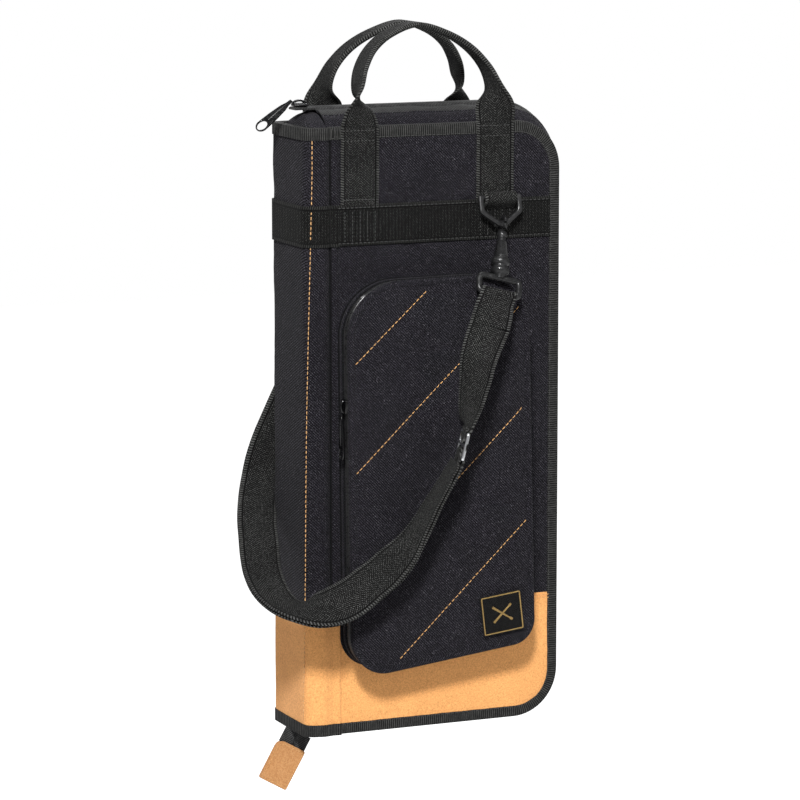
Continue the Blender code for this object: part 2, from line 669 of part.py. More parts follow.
# From the adjuster round the spine to the back; the fabric folds of the case divide it in three.
LOWER_RUN = [
    ((-0.0063, -0.1085, 0.2610), (0.06, -0.93, -0.08)),
    ((-0.0125, -0.1065, 0.2480), (0.19, -0.88, -0.18)),
    ((-0.0240, -0.1020, 0.2270), (0.30, -0.82, -0.27)),
    ((-0.0420, -0.0985, 0.1950), (0.29, -0.76, -0.38)),
    ((-0.0650, -0.0965, 0.1695), (0.25, -0.70, -0.48)),
    ((-0.0890, -0.0955, 0.1515), (0.29, -0.58, -0.62)),
    ((-0.1120, -0.0935, 0.1375), (0.36, -0.40, -0.76)),
    ((-0.1330, -0.0880, 0.1295), (0.05, -0.70, -0.60)),
    ((-0.1500, -0.0760, 0.1270), (-0.40, -0.80, -0.22)),
    ((-0.1600, -0.0600, 0.1300), (-0.72, -0.55, -0.10)),
    ((-0.1650, -0.0400, 0.1400), (-0.95, -0.25, -0.05)),
    ((-0.1635, -0.0150, 0.1560), (-1, -0.08, 0)),
    ((-0.1585, 0.0100, 0.1760), (-1, 0.05, 0.05)),
    ((-0.1535, 0.0300, 0.1960), (-1, 0.02, 0.1)),
    ((-0.1440, 0.0500, 0.2200), (-1, 0, 0.2)),
    ((-0.1300, 0.0590, 0.2500), (-0.95, 0, 0.3)),
    ((-0.1140, 0.0635, 0.2820), (-0.93, 0, 0.35)),
    ((-0.0930, 0.0645, 0.3240), (-0.96, 0, 0.25)),
    ((-0.0855, 0.0624, 0.3520), (-0.985, 0, 0.15)),
    ((-0.0835, 0.0610, 0.3700), (-0.995, 0, 0.10)),
]
RUN_PIECES = [("strap_front_double", 0, 8), ("strap_side", 8, 14), ("strap_rear", 14, 19)]


def webbing(pieces, route, thickness, steps=3):
    """Webbing along a route, in pieces that each run between two of its points."""
    sized = [(p, across, WEBBING_WIDTH, thickness) for p, across in route]
    rings = ribbon_rings(sized, steps)
    for name, first, last in pieces:
        part = rings[first * steps:last * steps + 1]
        for end, beside in ((0, 1), (-1, -2)):
            part[end] = [p + (q - p).normalized() * GAP / 2 for p, q in zip(part[end], part[beside])]
        loft(name, part, WEB_BLACK, 0.8)


ADJUSTER_HALF = (0.0215, 0.0130)


def adjuster(at, along, across):
    """The flat three-bar slide that sets the strap's length."""
    wide, tall = ADJUSTER_HALF
    bar = 0.0032
    loops = [rectangle(-wide, wide, -tall, tall)]
    for low, high in ((-tall + bar, -bar / 2), (bar / 2, tall - bar)):
        loops.append(rectangle(-wide + bar * 0.7, wide - bar * 0.7, low, high))
    item = add("strap_adjuster", outline_curve("strap_adjuster", loops, 0.003), STEEL_GREY, 0.3, 1)
    item.rotation_euler = Matrix((across, along, across.cross(along))).transposed().to_euler()
    item.location = at


def strap_ends():
    """The sewn folds that hold the strap to its two eyes."""
    ends = (("front", FRONT, FRONT_RING_X, FRONT_DROP, FRONT_SINGLE[0], 1),
            ("rear", REAR, REAR_RING_X, REAR_DROP, LOWER_RUN[-1], -1))
    for label, side, x, drop, (low, edge), way in ends:
        at, across = hanging_frame(side, x, drop)
        top = at(0, 0, EYE_DOWN + 0.0085 + EYE_BAR + 0.0026)
        low, edge = Vector(low), Vector(edge) * way
        stop = low + (top - low).normalized() * 3 * GAP
        between = (top + stop) / 2 + Vector((0, side * 0.001, 0))
        route = [(top, across, 0.034, 0.0036), (between, (across + edge) / 2, 0.036, 0.0036),
                 (stop, edge, WEBBING_WIDTH, 0.0036)]
        ribbon(f"strap_end_{label}", route, 4, WEB_BLACK, 0.8)


def strap():
    strap_ends()
    webbing([("strap_front_single", 0, 5)], FRONT_SINGLE, STRAP)
    upper, lower = Vector(FRONT_SINGLE[-1][0]), Vector(LOWER_RUN[0][0])
    middle, along = (upper + lower) / 2, (upper - lower).normalized()
    across = Vector((0, -1, 0.04))
    across = (across - along * across.dot(along)).normalized()
    adjuster(middle, along, across)
    webbing(RUN_PIECES, LOWER_RUN, DOUBLED)


# --- zip end tab at the bottom of the spine ---
def zip_end():
    """The free end of the main zip, with the suede cap that is gripped when it is pulled."""
    tilt = radians(30)
    along = Vector((-sin(tilt), 0, -cos(tilt)))
    across = Vector((cos(tilt), -0.1, -sin(tilt))).normalized()
    top = Vector((-0.1225, -0.004, -0.0035))
    split = 0.014

    def strip(name, start, end, width, thick, colour):
        route = [(top + along * d, across, width, thick) for d in (start, (start + end) / 2, end)]
        ribbon(name, route, 3, colour, 0.9)

    strip("zip_end_tape", 0, split - GAP, 0.0275, 0.002, WEB_BLACK)
    strip("zip_end_cap", split, 0.0545, 0.0300, 0.0050, SUEDE_TAN)


cover("front", FRONT)
cover("rear", REAR)
stick_sleeve("front", FRONT, 0.011)
stick_sleeve("rear", REAR, 0.011)
spine()
pocket()
zips()
zip_tail()
handle("front_handle", FRONT)
handle("rear_handle", REAR)
fitting("front", FRONT, FRONT_RING_X, FRONT_DROP)
fitting("rear", REAR, REAR_RING_X, REAR_DROP)
strap()
zip_end()
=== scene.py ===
"""Visual model of the drum stick bag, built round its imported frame.

Lengths are in metres. Shapes are worked out above the bag's bottom edge, as the case was
drawn, and lowered by GRIP when their meshes are made, because the frame's origin is the point
between the handle grips that the bag hangs by.
"""
from math import cos, pi, radians, sin, sqrt

import bmesh
import bpy
import numpy as np
from mathutils import Matrix, Vector, noise


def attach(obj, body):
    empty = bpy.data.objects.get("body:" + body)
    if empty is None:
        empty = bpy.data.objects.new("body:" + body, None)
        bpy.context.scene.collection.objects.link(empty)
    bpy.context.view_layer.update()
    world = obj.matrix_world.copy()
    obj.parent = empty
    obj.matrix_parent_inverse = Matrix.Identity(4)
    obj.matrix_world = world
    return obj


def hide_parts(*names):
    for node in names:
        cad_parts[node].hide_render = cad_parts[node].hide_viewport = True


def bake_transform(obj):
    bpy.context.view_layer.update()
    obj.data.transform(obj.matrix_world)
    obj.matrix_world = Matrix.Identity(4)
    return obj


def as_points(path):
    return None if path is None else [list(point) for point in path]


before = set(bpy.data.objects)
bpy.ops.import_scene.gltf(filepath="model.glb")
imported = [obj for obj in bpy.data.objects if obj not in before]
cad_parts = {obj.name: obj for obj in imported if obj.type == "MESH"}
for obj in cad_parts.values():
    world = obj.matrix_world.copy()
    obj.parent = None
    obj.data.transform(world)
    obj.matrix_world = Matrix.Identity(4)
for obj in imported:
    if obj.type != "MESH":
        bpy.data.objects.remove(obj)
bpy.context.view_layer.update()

# --- sizes that the case was drawn with ---
GRIP = 0.656
LOWERED = Vector((0, 0, -GRIP))
HEIGHT, HALF, RIGHT = 0.566, 0.0425, 0.127
CORNER = 0.045  # radius of the covers at their free corners
FOLD = -0.1045  # where the covers meet the spine
SUEDE_TOP = 0.118
BINDING = 0.011
BAND_LOW, BAND_TOP = 0.457, 0.495
WEB_WIDTH, WEB_THICK = 0.038, 0.0018
ZIP_EDGE = 0.0080
DOME, DOME_SIDE, DOME_BOTTOM = 0.0145, 0.55, 0.2  # the top gusset's rise, and other sides' share
POCKET_CORNERS = [(-0.0980, 0.4235), (0.0760, 0.4255), (0.0840, 0.0835), (-0.0940, 0.0620)]
POCKET_RADII = [0.050, 0.050, 0.020, 0.030]
LEGS = (-0.0765, 0.0595)
SIDES = {"front": -1, "rear": 1}  # the way that each cover faces along y


# --- materials ---
class Paint:
    """A material whose nodes are wired by short calls."""

    def __init__(self, name, **fixed):
        self.material = bpy.data.materials.new(name)
        self.material.use_nodes = True
        self.tree = self.material.node_tree
        self.shader = self.tree.nodes["Principled BSDF"]
        for socket, value in fixed.items():
            self.shader.inputs[socket.replace("_", " ")].default_value = value
        self.place = self.tree.nodes.new("ShaderNodeTexCoord")
        self.spot = self.place.outputs["Object"]

    def put(self, socket, value):
        if isinstance(value, bpy.types.NodeSocket):
            self.tree.links.new(value, socket)
        elif value is not None:
            socket.default_value = value

    def math(self, operation, a, b=0.0, c=0.0):
        made = self.tree.nodes.new("ShaderNodeMath")
        made.operation = operation
        for socket, value in zip(made.inputs, (a, b, c)):
            self.put(socket, value)
        return made.outputs[0]

    def add(self, a, b):
        return self.math("ADD", a, b)

    def minus(self, a, b):
        return self.math("SUBTRACT", a, b)

    def times(self, a, b):
        return self.math("MULTIPLY", a, b)

    def scaled(self, value, by, plus):
        return self.math("MULTIPLY_ADD", value, by, plus)

    def size(self, value):
        return self.math("ABSOLUTE", value)

    def wave(self, along, pitch):
        """0 to 1 and back every pitch metres."""
        return self.scaled(self.math("SINE", self.times(along, 2 * pi / pitch)), 0.5, 0.5)

    def ramp(self, value, low, high, to=(0.0, 1.0)):
        made = self.tree.nodes.new("ShaderNodeMapRange")
        made.interpolation_type = "SMOOTHSTEP"
        for socket, item in zip(made.inputs, (value, low, high, *to)):
            self.put(socket, item)
        return made.outputs[0]

    def grain(self, scale, detail, stretch=None):
        """Noise over the surface, scale in cycles a metre, stretched along an axis if asked."""
        made = self.tree.nodes.new("ShaderNodeTexNoise")
        where = self.spot
        if stretch:
            pulled = self.tree.nodes.new("ShaderNodeMapping")
            self.put(pulled.inputs["Vector"], where)
            pulled.inputs["Scale"].default_value = stretch
            where = pulled.outputs[0]
        self.put(made.inputs["Vector"], where)
        made.inputs["Scale"].default_value = scale
        made.inputs["Detail"].default_value = detail
        return made.outputs["Fac"]

    def mix(self, share, a, b):
        made = self.tree.nodes.new("ShaderNodeMix")
        made.data_type = "RGBA"
        self.put(made.inputs[0], share)
        for socket, value in ((made.inputs[6], a), (made.inputs[7], b)):
            self.put(socket, (*value, 1) if isinstance(value, tuple) else value)
        return made.outputs[2]

    def split(self, vector):
        made = self.tree.nodes.new("ShaderNodeSeparateXYZ")
        self.put(made.inputs[0], vector)
        return made.outputs

    def strip(self):
        """Metres along and across a strip, from its map."""
        found = self.split(self.place.outputs["UV"])
        return found[0], found[1]

    def flat(self):
        """Metres across and up whichever upright face the point is on."""
        x, y, z = self.split(self.spot)
        facing = self.split(self.place.outputs["Normal"])
        turned = self.math("GREATER_THAN", self.size(facing[0]), self.size(facing[1]))
        lying = self.math("GREATER_THAN", self.size(facing[2]), 0.75)
        across = self.add(x, self.times(turned, self.scaled(y, 0.5, self.times(x, -1.0))))
        return across, self.add(z, self.times(lying, self.minus(y, z)))

    def done(self, colour=None, height=None, depth=0.0003, strength=0.6, roughness=None):
        self.put(self.shader.inputs["Base Color"],
                 (*colour, 1) if isinstance(colour, tuple) else colour)
        if roughness is not None:
            self.put(self.shader.inputs["Roughness"], roughness)
        if height is not None:
            bump = self.tree.nodes.new("ShaderNodeBump")
            bump.inputs["Strength"].default_value = strength
            bump.inputs["Distance"].default_value = depth
            self.put(bump.inputs["Height"], height)
            self.put(self.shader.inputs["Normal"], bump.outputs[0])
        return self.material


def twill(name, dark, light, fleck, pitch=0.0019, strip=False):
    """Heathered cloth: fine cords broken by the weft, with pale fibres in the yarn."""
    p = Paint(name, Roughness=0.95, Sheen_Weight=0.03, Sheen_Roughness=0.5,
              Specular_IOR_Level=0.10)
    a, b = p.strip() if strip else p.flat()
    wander = p.times(p.grain(90, 2), 0.0010)
    cords = p.wave(p.add(p.add(a, b), wander), pitch * 1.414)
    weft = p.wave(p.add(p.minus(a, b), wander), pitch * 1.2)
    weave = p.ramp(p.times(cords, p.scaled(weft, 0.7, 0.3)), 0.08, 0.62)
    blotch = p.times(p.ramp(p.grain(900, 0), 0.30, 0.60, (0.45, 1.0)),
                     p.ramp(p.grain(420, 1), 0.36, 0.64, (0.70, 1.1)))
    yarn = p.ramp(p.grain(1300, 0), 0.60, 0.80, (0.0, 1.0))
    patchy = p.ramp(p.grain(26, 4), 0.3, 0.7, (0.80, 1.0))
    share = p.times(p.times(p.scaled(weave, 0.94, 0.06), blotch), patchy)
    colour = p.mix(share, dark, light)
    colour = p.mix(p.times(yarn, p.scaled(weave, 0.60, 0.25)), colour, fleck)
    return p.done(colour, p.add(weave, p.times(yarn, 0.6)), 0.0004, 0.9)


def webbing(name, light, darkest=0.0020, ladder=0.0, beading=0.75):
    """Herringbone webbing with knobbly selvedges, and a ladder of cross ribs where it is
    stitched down."""
    pitch, bands, dark = 0.0023, 4, (darkest,) * 3
    p = Paint(name, Roughness=0.9, Sheen_Weight=0.02, Specular_IOR_Level=0.10)
    u, v = p.strip()
    zigzag = p.math("PINGPONG", v, WEB_WIDTH / bands)
    wander = p.times(p.grain(160, 2), 0.0007)
    cords = p.wave(p.add(p.add(u, wander), p.times(zigzag, 0.9)), pitch)
    picks = p.wave(p.add(v, wander), pitch * 0.62)
    weave = p.ramp(p.times(cords, p.scaled(picks, 0.80, 0.20)), 0.12, 0.72)
    if ladder:
        rungs = p.ramp(p.wave(u, ladder), 0.15, 0.6)
        weave = p.times(weave, p.scaled(rungs, 0.75, 0.25))
    yarn = p.ramp(p.grain(620, 2), 0.38, 0.64)
    weave = p.times(weave, p.scaled(yarn, 0.80, 0.20))
    inset = p.math("MINIMUM", v, p.minus(WEB_WIDTH, v))
    edge = p.ramp(inset, 0.0032, 0.0026)
    knobs = p.ramp(p.wave(p.add(u, p.times(v, 0.25)), pitch), 0.45, 0.80, (0.05, beading))
    beads = p.times(knobs, p.ramp(p.grain(300, 1), 0.3, 0.6, (0.6, 1.1)))
    channel = p.ramp(p.size(p.minus(inset, 0.0036)), 0.0003, 0.0010)
    plain = p.times(p.times(weave, channel), p.minus(1.0, edge))
    weave = p.add(plain, p.times(edge, beads))
    shade = p.ramp(p.grain(35, 3), 0.3, 0.75, (0.65, 1.0))
    return p.done(p.mix(p.times(weave, shade), dark, light), weave, 0.0006, 0.9)


def grosgrain(name, dark, light, pitch):
    """Tape with ribs across it."""
    p = Paint(name, Roughness=0.85, Sheen_Weight=0.02, Specular_IOR_Level=0.10)
    u, v = p.strip()
    ribs = p.wave(p.add(u, p.times(p.grain(240, 1), 0.0006)), pitch)
    picks = p.wave(v, 0.0014)
    weave = p.ramp(p.times(ribs, p.scaled(picks, 0.4, 0.6)), 0.1, 0.8)
    shade = p.ramp(p.grain(180, 3), 0.35, 0.7, (0.6, 1.0))
    return p.done(p.mix(p.times(weave, shade), dark, light), weave, 0.0004, 0.8)


def suede(name, dark, mid, light):
    p = Paint(name, Roughness=0.95, Sheen_Weight=0.08, Sheen_Roughness=0.5,
              Specular_IOR_Level=0.08)
    nap = p.ramp(p.grain(24, 5), 0.30, 0.70, (0.30, 0.70))
    fibre = p.grain(950, 3)
    tufts = p.ramp(p.grain(520, 3), 0.34, 0.66)
    colour = p.mix(p.add(p.times(nap, 0.5), p.times(tufts, 0.5)), mid, light)
    colour = p.mix(p.ramp(fibre, 0.52, 0.30, (0.0, 0.55)), colour, dark)
    return p.done(colour, p.add(p.times(fibre, 0.6), p.times(tufts, 0.4)), 0.0003, 0.6)


def moulded(name, colour, roughness, speckle=0.02):
    p = Paint(name, Specular_IOR_Level=0.4)
    wear = p.grain(300, 3)
    shine = p.ramp(wear, 0.3, 0.7, (roughness - 0.06, roughness + 0.10))
    tone = p.mix(p.ramp(wear, 0.55, 0.75), colour, tuple(c + speckle for c in colour))
    return p.done(tone, p.grain(1500, 1), 0.00004, 0.3, shine)


def brushed(name, dark, light):
    p = Paint(name, Metallic=1.0)
    streaks = p.grain(60, 3, (1.0, 22.0, 1.0))
    scuffs = p.ramp(p.ramp(p.grain(220, 4), 0.55, 0.75), 0.0, 1.0, (0.28, 0.45))
    return p.done(p.mix(streaks, dark, light), streaks, 0.00005, 0.4, scuffs)


def thread(name, dark, light):
    p = Paint(name, Roughness=0.6, Sheen_Weight=0.2, Specular_IOR_Level=0.4)
    u, v = p.strip()
    ply = p.wave(p.add(u, p.times(v, 0.8)), 0.0009)
    worn = p.times(ply, p.ramp(p.grain(120, 2), 0.2, 0.7, (0.6, 1.0)))
    return p.done(p.mix(worn, dark, light), ply, 0.0001, 0.5)


def lining_cloth(name, dark, light):
    p = Paint(name, Roughness=0.7, Sheen_Weight=0.2, Specular_IOR_Level=0.35)
    a, b = p.flat()
    weave = p.times(p.wave(a, 0.0011), p.wave(b, 0.0011))
    creases = p.ramp(p.grain(38, 4, (1, 1, 0.35)), 0.35, 0.7)
    share = p.add(p.times(weave, 0.6), p.times(creases, 0.16))
    height = p.add(weave, p.times(creases, 1.5))
    return p.done(p.mix(share, dark, light), height, 0.0002, 0.5)


CANVAS_TONES = ((0.0007, 0.0006, 0.0010), (0.029, 0.027, 0.0355), (0.122, 0.115, 0.133))
CANVAS = twill("heather_twill", *CANVAS_TONES)
CANVAS_STRIP = twill("heather_twill_strip", *CANVAS_TONES, strip=True)
# near-black copy of the twill: painted shade for the floor of each fold groove and the pocket
# gussets' recesses
SHADE_PAINTED_CLOTH = twill("painted_shade_twill", (0.0010, 0.0010, 0.0012), (0.010, 0.010, 0.012),
                   (0.024, 0.023, 0.027))
STRAP_WEB = webbing("strap_webbing", (0.112, 0.113, 0.109))
BAND_WEB = webbing("band_webbing", (0.066, 0.067, 0.063), 0.0018, 0.0033, 0.45)
LEG_WEB = webbing("leg_webbing", (0.108, 0.109, 0.104))
BINDING_TAPE = grosgrain("binding_grosgrain", (0.0040, 0.0040, 0.0040), (0.058, 0.058, 0.056),
                         0.0021)
ZIP_TAPE = grosgrain("zip_tape", (0.006, 0.006, 0.0062), (0.080, 0.080, 0.080), 0.0015)
SUEDE = suede("tan_suede", (0.36, 0.155, 0.048), (0.60, 0.275, 0.095), (0.82, 0.405, 0.145))
CAP_SUEDE = suede("cap_suede", (0.225, 0.098, 0.036), (0.37, 0.168, 0.062), (0.49, 0.26, 0.112))
MATTE = moulded("moulded_plastic", (0.010, 0.010, 0.0105), 0.32)
GLOSS = moulded("glossy_plastic", (0.003, 0.003, 0.0034), 0.16, 0.002)
COIL = moulded("nylon_coil", (0.006, 0.006, 0.0065), 0.30, 0.004)
STEEL = brushed("satin_steel", (0.55, 0.56, 0.58), (0.85, 0.86, 0.88))
TAN_THREAD = thread("tan_thread", (0.34, 0.16, 0.045), (0.86, 0.50, 0.20))
DARK_THREAD = thread("dark_thread", (0.006, 0.006, 0.006), (0.070, 0.070, 0.068))
LINING = lining_cloth("smooth_lining", (0.020, 0.020, 0.023), (0.070, 0.070, 0.078))
FELT = lining_cloth("board_felt", (0.05, 0.05, 0.052), (0.12, 0.12, 0.125))
GOLD_WEAVE = grosgrain("label_gold", (0.24, 0.15, 0.045), (0.70, 0.50, 0.20), 0.0009)
BLACK_WEAVE = grosgrain("label_black", (0.003, 0.003, 0.003), (0.022, 0.022, 0.022), 0.0011)


# --- solids ---
class Shape:
    """Vertices, faces and a map in metres, gathered from swept sections."""

    def __init__(self):
        self.verts, self.faces, self.maps, self.kinds = [], [], [], []

    def sweep(self, rings, across=None, closed=False, kinds=None):
        """A skin through rings of points. across gives the map's metres round each ring, and
        kinds the number of the material of each strip between two points of a ring."""
        base, n, m = len(self.verts), len(rings), len(rings[0])
        rings = [[Vector(p) for p in ring] for ring in rings]
        middles = [sum(ring, Vector()) / m for ring in rings]
        along = travelled(middles + middles[:1] if closed else middles)
        if across is None:
            across = travelled(rings[0] + rings[0][:1])
        elif len(across) == m:
            across = [*across, across[0]]
        self.verts += [tuple(p) for ring in rings for p in ring]
        for i in range(n if closed else n - 1):
            k = (i + 1) % n
            for j in range(m):
                l = (j + 1) % m
                self.faces.append([base + i * m + j, base + i * m + l, base + k * m + l,
                                   base + k * m + j])
                self.maps.append([(along[i], across[j]), (along[i], across[j + 1]),
                                  (along[i + 1], across[j + 1]), (along[i + 1], across[j])])
                self.kinds.append(kinds[j] if kinds else 0)
        if not closed:
            for i, start in ((0, base), (n - 1, base + (n - 1) * m)):
                self.faces.append([start + j for j in range(m)])
                self.maps.append([(along[i], across[j]) for j in range(m)])
                self.kinds.append(0)
        return self

    def turn_map(self):
        """Swaps the map's directions, for a strip that is swept across its width."""
        self.maps = [[(v, u) for u, v in loop] for loop in self.maps]
        return self

    def grid(self, outer, inner):
        """A closed pad between two equal grids of points."""
        nx, nz = len(outer), len(outer[0])
        base, count = len(self.verts), nx * nz
        for sheet in (outer, inner):
            self.verts += [tuple(p) for row in sheet for p in row]

        def at(layer, i, j):
            return base + layer * count + i * nz + j

        def quad(*corners):
            quads.append([at(*corner) for corner in corners])

        quads = []
        for i in range(nx - 1):
            for j in range(nz - 1):
                for layer in (0, 1):
                    quad((layer, i, j), (layer, i + 1, j), (layer, i + 1, j + 1),
                         (layer, i, j + 1))
        for i in range(nx - 1):
            for j in (0, nz - 1):
                quad((0, i, j), (0, i + 1, j), (1, i + 1, j), (1, i, j))
        for j in range(nz - 1):
            for i in (0, nx - 1):
                quad((0, i, j), (0, i, j + 1), (1, i, j + 1), (1, i, j))
        self.faces += quads
        self.kinds += [0] * len(quads)
        self.maps += [[(self.verts[k][0], self.verts[k][2]) for k in quad] for quad in quads]
        return self


def linked(name, data):
    """A new object in the scene."""
    item = bpy.data.objects.new(name, data)
    bpy.context.scene.collection.objects.link(item)
    return item


def enrolled(item, body, slot, nodes):
    """Parents a piece to the empty of the body it rides on and hides the CAD nodes it replaces;
    slot is not used.
    """
    if body:
        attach(item, body)
    if nodes:
        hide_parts(*nodes)
    return item


def piece(name, shape, material, body, slot, *nodes):
    """A mesh object made from a shape, lowered to the frame."""
    mesh = bpy.data.meshes.new(name)
    mesh.from_pydata([(x, y, z - GRIP) for x, y, z in shape.verts], [], shape.faces)
    chart = mesh.uv_layers.new(name="metres")
    chart.data.foreach_set("uv", [c for loop in shape.maps for uv in loop for c in uv])
    tidy = bmesh.new()
    tidy.from_mesh(mesh)
    bmesh.ops.recalc_face_normals(tidy, faces=tidy.faces)
    tidy.to_mesh(mesh)
    tidy.free()
    mesh.polygons.foreach_set("use_smooth", [True] * len(mesh.polygons))
    mesh.set_sharp_from_angle(angle=radians(45))
    for each in material if isinstance(material, list) else [material]:
        mesh.materials.append(each)
    mesh.polygons.foreach_set("material_index", shape.kinds)
    return enrolled(linked(name, mesh), body, slot, nodes)


def stretched(line):
    """Direction along a line at each of its points."""
    return [(b - a).normalized() for a, b in zip(line[:1] + line[:-1], line[1:] + line[-1:])]


def travelled(line):
    """Distance along a line at each of its points."""
    marks = [0.0]
    for a, b in zip(line, line[1:]):
        marks.append(marks[-1] + (b - a).length)
    return marks


def catmull(values, steps):
    """A smooth line through values, with steps parts between each two."""
    ends = [values[0] * 2 - values[1], *values, values[-1] * 2 - values[-2]]
    found = []
    for a, b, c, d in zip(ends, ends[1:], ends[2:], ends[3:]):
        for i in range(steps):
            t = i / steps
            found.append(0.5 * (2 * b + (c - a) * t + (2 * a - 5 * b + 4 * c - d) * t * t
                                + (3 * b - a - 3 * c + d) * t ** 3))
    return found + [values[-1]]


def web_section(width, thick):
    """Section of webbing with soft edges, and its map across."""
    half, edge = width / 2 - thick * 0.45, width / 2
    top = [(a, thick / 2) for a in (-half, -half / 2, 0, half / 2, half)]
    points = [*top, (edge, 0), *[(a, -b) for a, b in reversed(top)], (-edge, 0)]
    return points, [a + edge for a, _ in points]


def web_rings(route, steps, lift=0.0, ripple=0.0):
    """Rings of webbing along (point, across, width, thickness) stations; lift moves the strip
    off its line and ripple makes it wander in and out by that much."""
    line = catmull([Vector(r[0]) for r in route], steps)
    across = catmull([Vector(r[1]) for r in route], steps)
    sizes = catmull([Vector((r[2], r[3])) for r in route], steps)
    rings = []
    for i, (centre, along, size) in enumerate(zip(line, stretched(line), sizes)):
        side = (across[i] - along * across[i].dot(along)).normalized()
        off = lift + ripple * noise.noise(Vector((i * 0.37, 3.1, lift * 900)))
        rings.append([centre + side * a + along.cross(side) * (b + off)
                      for a, b in web_section(*size)[0]])
    return rings


def webbed(name, route, steps, material, body, slot, *nodes):
    """A piece of webbing, with the map of its first station."""
    shape = Shape().sweep(web_rings(route, steps), web_section(*route[0][2:])[1])
    return piece(name, shape, material, body, slot, *nodes)


def tube_rings(points, radii, sides, guide, closed=False):
    """Round sections along a line; guide is a direction across it that starts each ring."""
    line, guide = [Vector(p) for p in points], Vector(guide)
    ends = [line[-1], *line, line[0]] if closed else [line[0], *line, line[-1]]
    rings = []
    for i, centre in enumerate(line):
        along = (ends[i + 2] - ends[i]).normalized()
        side = (guide - along * guide.dot(along)).normalized()
        up = along.cross(side)
        radius = radii[i] if isinstance(radii, (list, tuple)) else radii
        turns = [2 * pi * k / sides for k in range(sides)]
        rings.append([centre + (side * cos(t) + up * sin(t)) * radius for t in turns])
    return rings


def filleted(points, radii, steps):
    """A flat outline with rounded corners."""
    found = []
    corners = [Vector(p) for p in points]
    radii = radii if isinstance(radii, (list, tuple)) else [radii] * len(corners)
    for i, (here, radius) in enumerate(zip(corners, radii)):
        start = here + (corners[i - 1] - here).normalized() * radius
        end = here + (corners[(i + 1) % len(corners)] - here).normalized() * radius
        for t in (k / steps for k in range(steps + 1)):
            found.append(start * (1 - t) ** 2 + here * 2 * t * (1 - t) + end * t * t)
    return found


def box(x0, y0, x1, y1):
    return [(x0, y0), (x1, y0), (x1, y1), (x0, y1)]


def cutout(name, loops, thick, bevel, origin, x_axis, y_axis, material, body, slot, *nodes):
    """A plate with rounded edges, and holes where there is more than one loop."""
    curve = bpy.data.curves.new(name, "CURVE")
    curve.dimensions, curve.fill_mode = "2D", "BOTH"
    curve.extrude, curve.bevel_depth, curve.bevel_resolution = thick / 2 - bevel, bevel, 2
    curve.offset = -bevel
    for loop in loops:
        spline = curve.splines.new("POLY")
        spline.points.add(len(loop) - 1)
        for point, (x, y) in zip(spline.points, loop):
            point.co = (x, y, 0, 1)
        spline.use_cyclic_u = True
    curve.materials.append(material)
    item = linked(name, curve)
    x_axis, y_axis = Vector(x_axis).normalized(), Vector(y_axis)
    y_axis = (y_axis - x_axis * x_axis.dot(y_axis)).normalized()
    turn = Matrix((x_axis, y_axis, x_axis.cross(y_axis))).transposed().to_4x4()
    item.matrix_world = Matrix.Translation(Vector(origin) + LOWERED) @ turn
    return enrolled(item, body, slot, nodes)


def stitches(shape, line, out, length, gap, radius, dip=0.0005):
    """Thread stitches along a line of points. out is the direction off the cloth, or a list
    with one for each point."""
    line = [Vector(p) for p in line]
    outs = [Vector(o) for o in out] if isinstance(out, list) else [Vector(out)] * len(line)
    marks = travelled(line)

    def at(s):
        k = min(max(int(np.searchsorted(marks, s)) - 1, 0), len(line) - 2)
        t = (s - marks[k]) / max(marks[k + 1] - marks[k], 1e-9)
        return line[k].lerp(line[k + 1], t), outs[k].lerp(outs[k + 1], t).normalized()

    start = 0.0
    while start + length <= marks[-1]:
        rings = []
        for t, r, sink in ((0, 0.35, 1), (0.2, 0.9, 0.25), (0.5, 1, 0), (0.8, 0.9, 0.25),
                           (1, 0.35, 1)):
            spot = start + length * t
            here, off = at(spot)
            ahead, behind = at(min(spot + 0.0002, marks[-1]))[0], at(max(spot - 0.0002, 0))[0]
            side = off.cross(ahead - behind).normalized()
            here = here + off * (radius * 0.45 - sink * dip)
            rings.append([here + (side * cos(a) + off * sin(a)) * radius * r
                          for a in (k * pi / 3 for k in range(6))])
        shape.sweep(rings)
        start += length + gap
    return shape


def sewn(name, rows, material, body, slot):
    """A piece made of rows of stitches, each with the values that stitches takes."""
    seam = Shape()
    for row in rows:
        stitches(seam, *row)
    return piece(name, seam, material, body, slot)


